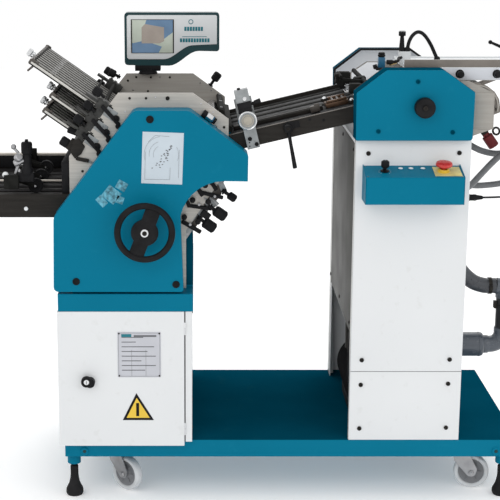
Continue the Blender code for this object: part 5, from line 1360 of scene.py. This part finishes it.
def make_side_lay():
    """The side lay's scale dial, head, pin, grip and screws, and the clamp lever beside it."""
    at = 0.0705
    Build(TABLE).lathe([(0, 0.0125), (0.0215, 0.0125), (0.0225, 0.0118), (0.023, 0.011), (0.0242, 0.011),
                        (0.0248, 0.0126), (0.0285, 0.013), (0.0304, 0.0118), (0.031, 0.01), (0.031, 0.002),
                        (0.03, 0.0004), (0, 0.0004)], (at, 0.04, 0.036), -Y, 72).piece(
                            "dial_rim", "worn_steel", "side_lay_dial", ("side_lay_dial",))
    face = Build(TABLE)
    face.lathe([(0, 0), (0.0205, 0), (0.0205, 0.001), (0.0165, 0.0014), (0.016, 0.0004),
                (0.015, 0.0004), (0.0145, 0.0014), (0, 0.0016)], (at, 0.0284, 0.036), -Y, 56)
    face.piece("dial_face", "old_ivory", "side_lay_dial")
    Build(TABLE).lathe([(0.0242, 0.0118), (0.0285, 0.0134), (0.0304, 0.0122), (0.0242, 0.0118)],
                       (at, 0.04, 0.036),
                       -Y, 72).piece("dial_ring", "chrome", "side_lay_dial")
    ticks = Build(TABLE)
    for k in range(24):
        a = 2 * pi * k / 24
        turn = Matrix.Translation((at, 0.0268, 0.036)) @ Matrix.Rotation(a, 4, "Y")
        ticks.block((0.015, 0, -0.0003), (0.0195, 0.0004, 0.0003), 0, turn)
    ticks.piece("dial_ticks", "ink", "side_lay_dial")
    dark = Build(TABLE)
    for x, z in ((at - 0.006, -0.026), (at + 0.012, -0.048)):
        dark.screw((x, 0.0399, z), -Y, 0.0068, 0.004)
    dark.screw((at - 0.012, 0.0399, -0.05), -Y, 0.0022, 0.0008)
    dark.screw((at - 0.01, 0.0399, -0.038), -Y, 0.0022, 0.0008)
    dark.block((at - 0.024, 0.0294, 0.062), (at + 0.024, 0.0548, 0.08), 0.003)
    dark.block((at - 0.0225, 0.035, 0.078), (at + 0.0245, 0.0275, 0.098), 0.003)
    dark.rod((at + 0.022, 0.04, 0.086), (at + 0.034, 0.04, 0.088), 0.005, 18)
    dark.rod((at + 0.034, 0.04, 0.088), (at + 0.056, 0.04, 0.091), 0.0068, 22, None, 0.0075)
    dark.rod((at - 0.006, 0.045, 0.1385), (at - 0.006, 0.045, 0.146), 0.0055, 20)
    dark.piece("side_lay_grip", "knob", "side_lay")
    Build(TABLE).lathe([(0, 0.003), (0.003, 0.0036), (0.006, 0.003), (0.0075, 0.0012), (0.0075, 0), (0, 0)],
                       (at + 0.006, 0.0299, 0.108), -Y, 30).piece("side_lay_pin", "chrome", "side_lay")
    Build(TABLE).block((at - 0.0228, 0.0302, 0.111), (at + 0.0228, 0.065, 0.1395), 0.0015).piece(
        "side_lay_head", "worn_steel", "side_lay")
    lever = Build()
    hub = Vector((0.306, 0.055, 1.285))
    lever.lathe([(0, 0.024), (0.009, 0.024), (0.0125, 0.0225), (0.014, 0.019), (0.014, 0.0003),
                 (0, 0.0003)], hub, -Y, 36)
    lever.lathe([(0, 0), (0.0062, 0), (0.006, 0.02), (0.0056, 0.05), (0.0072, 0.122), (0.0074, 0.128),
                 (0.006, 0.131), (0, 0.1315)], hub + Vector((0.001, -0.014, -0.003)), (0.026, 0, -0.135),
                28)
    lever.piece("clamp_lever_grip", "knob", "clamp_lever", ("clamp_lever",))
    Build().screw(hub + Y * -0.024, -Y, 0.006, 0.003).piece(
        "clamp_lever_screw", "black_steel", "clamp_lever")


# ---------------------------------------------------------------- feeder
def feeder_rim(grow=0):
    """The outline of the feeder's covers."""
    return [(0.523 - grow, 1.257), (0.521 - grow, 1.411 + grow * 0.5), (0.617 - grow * 0.5, 1.485 + grow),
            (0.801 + grow * 0.5, 1.485 + grow), (0.904 + grow, 1.413 + grow * 0.5), (0.902 + grow, 1.257)]


def make_feeder_detail():
    """The covers' linings, trims and screws, and the drum's sleeve, ports and knob."""
    # The linings take the glowing pale finish: painted light on the covers' shaded inner faces.
    liner = Build()
    inside = [(0.5265, 1.259), (0.5245, 1.4095), (0.6182, 1.4815), (0.7998, 1.4815), (0.9005, 1.4115),
              (0.8985, 1.259)]
    liner.slab(inside, 0.7752, 0.7764, 0)
    liner.slab([(0.583, 1.262), (0.583, 1.399), (0.6405, 1.4375), (0.69, 1.4375), (0.69, 1.262)], 0.6985,
               0.6997, 0)
    liner.piece("rear_cover_lining", "lining")
    trims = Build()
    spots = feeder_rim(-0.0006)
    for a, b in zip(spots[:-1], spots[1:]):
        trims.beam((a[0], 0.715, a[1]), (b[0], 0.715, b[1]), 0.009, 0.008, 0.0018)
    for x, z in spots:
        trims.rod((x, 0.7106, z), (x, 0.7194, z), 0.004, 16)
    for a, b in zip(spots[1:4], spots[2:5]):
        trims.beam((a[0], 0.05, a[1] - 0.001), (b[0], 0.05, b[1] - 0.001), 0.009, 0.005, 0.0012)
    trims.piece("cover_edge_trims", "rubber")
    flanges = Build()
    spots = feeder_rim(0.0004)
    for a, b in zip(spots[:-2], spots[1:-1]):
        for y, width in ((0.012, 0.078), (0.746, 0.062)):
            flanges.beam((a[0], y, a[1]), (b[0], y, b[1]), width, 0.0008, 0.0002)
    flanges.piece("cover_flange_strips", "deck")
    screws = Build()
    caps = Build()
    for x, z in ((0.718, 1.448), (0.595, 1.287), (0.836, 1.284)):
        caps.screw((x, COVER_FACE, z), -Y, 0.0072, 0.0035)
        caps.screw((x, 0.779, z), Y, 0.0072, 0.0009)
    caps.piece("feeder_cover_caps", "deck")
    for x, z in ((0.97, 1.312), (0.975, 1.296), (0.93, 1.392)):
        screws.screw((x, 0.0545, z), -Y, 0.0042, 0.002)
        screws.screw((x, 0.712, z), Y, 0.0042, 0.002)
    screws.piece("feeder_cover_screws", "black_steel")
    x, z = DRUM_AT
    Build().lathe([(0, -0.0655), (0.012, -0.0655), (0.015, -0.0672), (0.027, -0.068), (0.031, -0.066),
                   (0.033, -0.062), (0.033, -0.038), (0.0305, -0.033), (0.026, -0.0318), (0, -0.0318)],
                  (x, 0, z), Y, 56).piece("drum_knob", "knob", "suction_drum")
    Build().screw((x, -0.066, z), -Y, 0.008, 0.003).piece("drum_knob_screw", "black_steel", "suction_drum")
    drum = Build()
    drum.lathe([(0, 0.23), (0.01, 0.23), (0.01, -0.031), (0, -0.031)], (x, 0, z), Y, 28)
    rings = [(0.01, 0.23), (0.0475, 0.23), (0.0495, 0.232)]
    for k in range(8):
        y = 0.2335 + 0.0392 * k
        rings += [(0.05, y), (0.05, y + 0.034), (0.0488, y + 0.0346), (0.0488, y + 0.0386)]
    rings += [(0.0495, 0.548), (0.0475, 0.55), (0.01, 0.55), (0.01, 0.7083), (0, 0.7083)]
    drum.lathe(rings, (x, 0, z), Y, 64)
    drum.piece("drum_sleeve", "steel", "suction_drum", ("suction_drum",))
    ports = Build()
    for k in range(8):
        for j in range(18):
            a = 2 * pi * (j + 0.5 * (k % 2)) / 18
            run = Vector((cos(a), 0, sin(a)))
            ports.lathe([(0, 0.0503), (0.0032, 0.0503), (0.0036, 0.0498), (0, 0.0498)],
                        (x, 0.2505 + 0.0392 * k, z), run, 10)
    ports.piece("drum_ports", "black", "suction_drum")


def make_feeder_head():
    """The hold-down group above the register table's start, the blue valve and the air post."""
    black = Build()
    black.block((0.489, 0.335, 1.398), (0.556, 0.378, 1.412), 0.003)
    black.slab([(0.486, 1.431), (0.5, 1.434), (0.514, 1.404), (0.526, 1.382), (0.508, 1.38),
                (0.496, 1.396)], 0.334, 0.382, 0.003)
    black.slab([(0.54, 1.384), (0.556, 1.42), (0.594, 1.424), (0.596, 1.398), (0.568, 1.384)], 0.334, 0.382,
               0.003)
    black.beam((0.5, 0.3, 1.42), (0.584, 0.3, 1.412), 0.01, 0.01, 0.002)
    black.rod((0.503, 0.29, 1.428), (0.503, 0.42, 1.428), 0.006, 20)
    black.rod((0.584, 0.12, 1.414), (0.584, 0.64, 1.414), 0.008, 24)
    black.block((0.518, 0.15, 1.386), (0.56, 0.19, 1.42), 0.004)
    black.block((0.518, 0.52, 1.386), (0.56, 0.56, 1.42), 0.004)
    black.piece("hold_down_group", "soot")
    bright = Build()
    bright.ball((0.532, 0.205, 1.356), 0.01)
    bright.rod((0.56, 0.35, 1.396), (0.56, 0.362, 1.396), 0.01, 26)
    bright.rod((0.512, 0.345, 1.392), (0.538, 0.345, 1.388), 0.006, 20)
    bright.block((0.519, 0.3, 1.372), (0.56, 0.4, 1.377), 0.001)
    bright.piece("hold_down_bright", "chrome")
    Build().block((0.642, 0.388, 1.448), (0.666, 0.412, 1.486), 0.003).piece("air_valve", "blue")
    fittings = Build()
    fittings.knurled((0.654, 0.4, 1.486), (0.654, 0.4, 1.496), 0.013, 14, 0.0012)
    fittings.lathe([(0, 0), (0.01, 0), (0.012, 0.003), (0.01, 0.007), (0, 0.007)], (0.654, 0.4, 1.495), Z,
                   28)
    fittings.rod((0.626, 0.4, 1.45), (0.64, 0.4, 1.454), 0.008, 20)
    fittings.block((0.634, 0.38, 1.441), (0.69, 0.42, 1.45), 0.002)
    fittings.rod((0.672, 0.4, 1.468), (0.694, 0.4, 1.468), 0.008, 20)
    fittings.tube([(0.692, 0.4, 1.468), (0.706, 0.402, 1.47), (0.716, 0.42, 1.472), (0.724, 0.47, 1.474),
                   (0.736, 0.486, 1.476)], 0.0052, 14)
    fittings.piece("valve_fittings", "rubber")
    brass = Build()
    brass.lathe([(0, 0), (0.0075, 0), (0.0075, 0.007), (0, 0.007)], (0.678, 0.4, 1.468), X, 6)
    brass.rod((0.69, 0.44, 1.456), (0.716, 0.47, 1.46), 0.005, 20)
    brass.piece("valve_brass", "brass")
    cap = Build()
    cap.lathe([(0, 0), (0.0122, 0), (0.0126, 0.003), (0.0126, 0.014), (0.011, 0.017), (0, 0.017)],
              (0.7385, 0.5, 1.5515), Z, 32)
    cap.lathe([(0, 0), (0.0098, 0), (0.0096, 0.02), (0.0064, 0.06), (0, 0.06)], (0.7385, 0.5, 1.493), Z, 28)
    cap.lathe([(0.0066, 0), (0.0105, 0), (0.0105, 0.01), (0.008, 0.014), (0.0066, 0.014),
               (0.0066, 0)], (0.7585, 0.5, 1.497), Z, 28)
    cap.lathe([(0.0066, 0), (0.0115, 0), (0.0105, 0.012), (0.0066, 0.016), (0.0066, 0)],
              (0.873, 0.543, 1.4581), Z, 28)
    cap.piece("air_post_cap", "rubber")


def make_loading_table():
    """The loading table's belts, rail, knobs, handle and stays, with the elbow guide and filter below."""
    belts = Build()
    for y in (0.2, 0.29, 0.44, 0.53):
        belts.block((0.775, y, 1.4582), (1.39, y + 0.035, 1.4604), 0.0008)
    belts.piece("loading_belts", "belt")
    Build().block((0.69, 0.0905, 1.4612), (1.392, 0.1, 1.5065), 0.0015).piece("table_front_rail", "beige")
    Build().block((0.802, 0.0825, 1.442), (1.388, 0.0845, 1.48), 0.0008).piece(
        "table_beam_face", "pale_panel")
    knobs = Build()
    for x in (0.872, 0.994, 1.28):
        knobs.knurled((x, 0.083, 1.461), (x, 0.056, 1.461), 0.0115, 16, 0.001)
        knobs.rod((x, 0.084, 1.461), (x, 0.0815, 1.461), 0.0145, 26)
    knobs.piece("table_knobs", "knob")
    under = Build()
    for x in (1.06, 1.33):
        under.block((x, 0.1, 1.43), (x + 0.024, 0.662, 1.4478), 0.002)
    under.block((1.15, 0.18, 1.426), (1.345, 0.42, 1.4478), 0.003)
    under.piece("air_manifold", "pale_panel")
    stays = Build()
    for y in (0.088, 0.672):
        stays.beam((0.9, y, 1.3), (1.26, y, 1.439), 0.006, 0.018, 0.001)
    stays.piece("table_stays", "beige")
    guard = Build()
    points = [(0.906, 1.434), (0.935, 1.43), (0.962, 1.42), (0.986, 1.402), (1.001, 1.378), (1.006, 1.35)]
    for a, b in zip(points, points[1:]):
        for y, width in ((0.08, 0.024), (0.69, 0.018)):
            guard.beam((a[0], y, a[1]), (b[0], y, b[1]), width, 0.004, 0.001)
    for y in (0.0665, 0.7):
        guard.slab(points + [(0.992, 1.35), (0.986, 1.374), (0.972, 1.394), (0.95, 1.41), (0.906, 1.418)],
                   y, y + 0.003, 0.0008)
    guard.piece("elbow_guide", "beige")
    handle = Build()
    start, bend, foot = (Vector((x, 0.4, z)) for x, z in ((1.033, 1.5375), (1.0889, 1.5137), (1.12, 1.459)))
    handle.rod(start, bend, 0.0045, 20, None, 0.006)
    handle.ball(start, 0.0072)
    handle.ball(bend, 0.0062)
    handle.rod(bend, foot, 0.0052, 20)
    handle.block((1.1, 0.38, 1.456), (1.14, 0.42, 1.468), 0.003)
    handle.piece("table_handle", "knob")
    # The corner plate takes the darker copy of the plate finish: painted shade.
    Build().block((0.917, 0.0518, 1.283), (0.981, 0.0544, 1.402), 0.0012).piece(
        "feeder_corner_plate", "plate_painted_shade")
    tap = Build()
    tap.rod((0.995, 0.2, 1.238), (1.021, 0.2, 1.202), 0.0185, 32)
    tap.rod((0.988, 0.2, 1.247), (0.997, 0.2, 1.235), 0.012, 24)
    tap.piece("air_filter_bowl", "bowl")
    collar = Build()
    collar.ring((1.026, 0.2, 1.254), (0.2, -0.9, 0.3), 0.012, 0.0036)
    collar.rod((0.97, 0.2, 1.272), (0.99, 0.2, 1.246), 0.013, 28)
    collar.block((0.955, 0.18, 1.262), (0.992, 0.222, 1.2815), 0.003)
    collar.piece("air_filter_head", "black_steel")


def make_control_box():
    """The control box's end cheeks, push buttons, stop switch plate and speed knob."""
    x0, x1 = 0.55, 0.871
    slope = Matrix.Translation((0, -0.1, 1.147)) @ Matrix.Rotation(BOX_SLOPE, 4, "X")
    deep = Vector((0.1, 0.023)).length
    middle = 0.0513
    cheeks = Build()
    for x in (x0, x1):
        cheeks.slab([(0, 1.06), (0, 1.148), (0.099, 1.174), (0.099, 1.06)], -0.0012, 0.0012, 0.0005,
                    Matrix.Translation((x + (0.0014 if x < 0.6 else -0.0014), -0.1, 0))
                    @ Matrix.Rotation(pi / 2, 4, "Z"))
    cheeks.piece("box_cheeks", "teal")
    Build().block((x0 + 0.001, -0.1006, 1.1462), (x1 - 0.001, -0.0994, 1.1476), 0.0004).piece(
        "box_front_edge", "teal")
    buttons, rings = Build(slope), Build(slope)
    for x in (0.671, 0.705, 0.744):
        rings.lathe([(0.0081, 0), (0.0098, 0), (0.0096, 0.0018), (0.0081, 0.002), (0.0081, 0)],
                    (x, 0.075, 0), Z, 36)
        buttons.lathe([(0, 0.003), (0.0062, 0.0028), (0.0078, 0.0016), (0.008, 0), (0, 0)],
                      (x, 0.075, 0), Z, 36)
    buttons.piece("push_buttons", "label")
    rings.piece("push_button_rings", "teal")
    Build(slope).block((0.776, 0.012, 0), (0.864, deep - 0.014, 0.0012), 0.0006).piece(
        "stop_plate", "pale_yellow")
    stop_at = slope @ Vector((0.808, middle, 0))
    normal = slope.to_3x3() @ Z
    Build(slope).lathe([(0.0125, 0.0012), (0.0205, 0.0012), (0.02, 0.0045), (0.0172, 0.006),
                        (0.0165, 0.0108),
                        (0.0125, 0.011), (0.0125, 0.0012)], (0.808, middle, 0), Z, 44).piece(
                            "stop_collar", "yellow")
    Build().lathe([(0, -0.0195), (0.0088, -0.0195), (0.0088, 0.015), (0.015, 0.019), (0.0235, 0.02),
                   (0.0268, 0.022), (0.0275, 0.024), (0.0272, 0.0275), (0.025, 0.031), (0.02, 0.033),
                   (0.012, 0.034), (0, 0.0342)],
                  stop_at, normal, 56).piece("stop_cap", "red", "estop_button", ("estop_button",))
    knob_at = slope @ Vector((0.617, middle, 0))
    knob = Build()
    knob.lathe([(0, -0.0115), (0.0028, -0.0115), (0.0028, 0.0012), (0.0145, 0.0012), (0.0146, 0.0028),
                (0.0062, 0.0042), (0.006, 0.015), (0, 0.015)], knob_at, normal, 36)
    knob.knurled(knob_at + normal * 0.014, knob_at + normal * 0.0375, 0.0135, 18, 0.0008)
    knob.piece("speed_knob_grip", "knob", "speed_knob", ("speed_knob",))
    mark = Build()
    ahead = slope.to_3x3() @ Y
    mark.beam(knob_at + normal * 0.0376 + ahead * 0.002, knob_at + normal * 0.0376 + ahead * 0.0095, 0.0012,
              0.0004, 0.0001, X)
    mark.piece("speed_knob_mark", "label", "speed_knob")
    dial = Build(slope)
    for k in range(11):
        a = radians(-135 + 27 * k)
        spot = Vector((0.617 + 0.02 * sin(a), middle + 0.02 * cos(a), 0.0001))
        dial.rod(spot, spot + Z * 0.0003, 0.0009, 10, 0)
    dial.piece("speed_scale", "label")
    screws = Build(slope)
    for x in (0.558, 0.863):
        for y in (0.008, deep - 0.008):
            screws.screw((x, y, 0), Z, 0.0028, 0.0014, 16)
    screws.piece("box_screws", "steel")


# ---------------------------------------------------------------- return pipe
def make_return_pipe():
    """The rigid pipe with its union, elbows and clip."""
    y, low, top, down_x = 0.35, 0.4515, 0.671, 1.1145
    pipe = Build()
    pipe.lathe([(0, 0), (0.0415, 0), (0.043, 0.002), (0.0435, 0.006), (0.0435, 0.129),
                (0.0425, 0.135), (0.039, 0.1388), (0, 0.1388)], (WALL, y, low), X, 56)
    pipe.lathe([(0, 0), (0.033, 0), (0.033, 0.016), (0.03, 0.024), (0, 0.024)], (1.044, y, low), X, 48)
    pipe.tube([(1.06, y, low), (1.08, y, low + 0.0015), (1.096, y, low + 0.008), (1.108, y, low + 0.021),
               (1.114, y, low + 0.038), (1.1145, y, 0.508)], 0.03, 36)
    Build().rod((down_x, y, 0.515), (down_x, y, 0.627), 0.0266, 40).piece("pipe_rise", "dark_hose")
    pipe.rod((down_x, y, 0.495), (down_x, y, 0.645), 0.026, 40)
    pipe.tube([(down_x, y, 0.63), (1.114, y, 0.644), (1.11, y, 0.658), (1.101, y, 0.6675),
               (1.0832, y, top)], 0.029, 36)
    for z in (0.506, 0.636):
        pipe.lathe([(0.0262, -0.009), (0.0296, -0.009), (0.0302, -0.006), (0.0302, 0.006), (0.0296, 0.009),
                    (0.0262, 0.009), (0.0262, -0.009)], (down_x, y, z), Z, 40)
    pipe.piece("pipe_run", "pvc", "root", ("return_pipe",))
    rings = Build()
    for x in (0.913, 1.03):
        rings.lathe([(0.043, -0.004), (0.0446, -0.003), (0.0446, 0.003), (0.043, 0.004), (0.043, -0.004)],
                    (x, y, low), X, 56)
    rings.piece("union_rings", "pvc")
    clip = Build()
    clip.ring((down_x, y, 0.601), Z, 0.0272, 0.0022)
    clip.block((1.079, y - 0.012, 0.588), (1.089, y + 0.012, 0.614), 0.002)
    clip.piece("pipe_clip", "black_steel")


# ---------------------------------------------------------------- the whole picture
for make in (make_camera, make_hoses, make_studio, paint_cad, make_casters, make_feet, make_base_detail,
             make_cabinet_detail, make_switchgear, make_feeder_cabinet_detail, make_pump, make_cover_detail,
             make_side_plate_detail, make_rollers, make_handwheel, make_fold_plates, make_plate_hangers,
             make_corner_knobs, make_register_head, make_lower_group, make_display, make_delivery,
             make_infeed, make_side_lay, make_feeder_detail, make_feeder_head, make_loading_table,
             make_control_box, make_return_pipe):
    make()
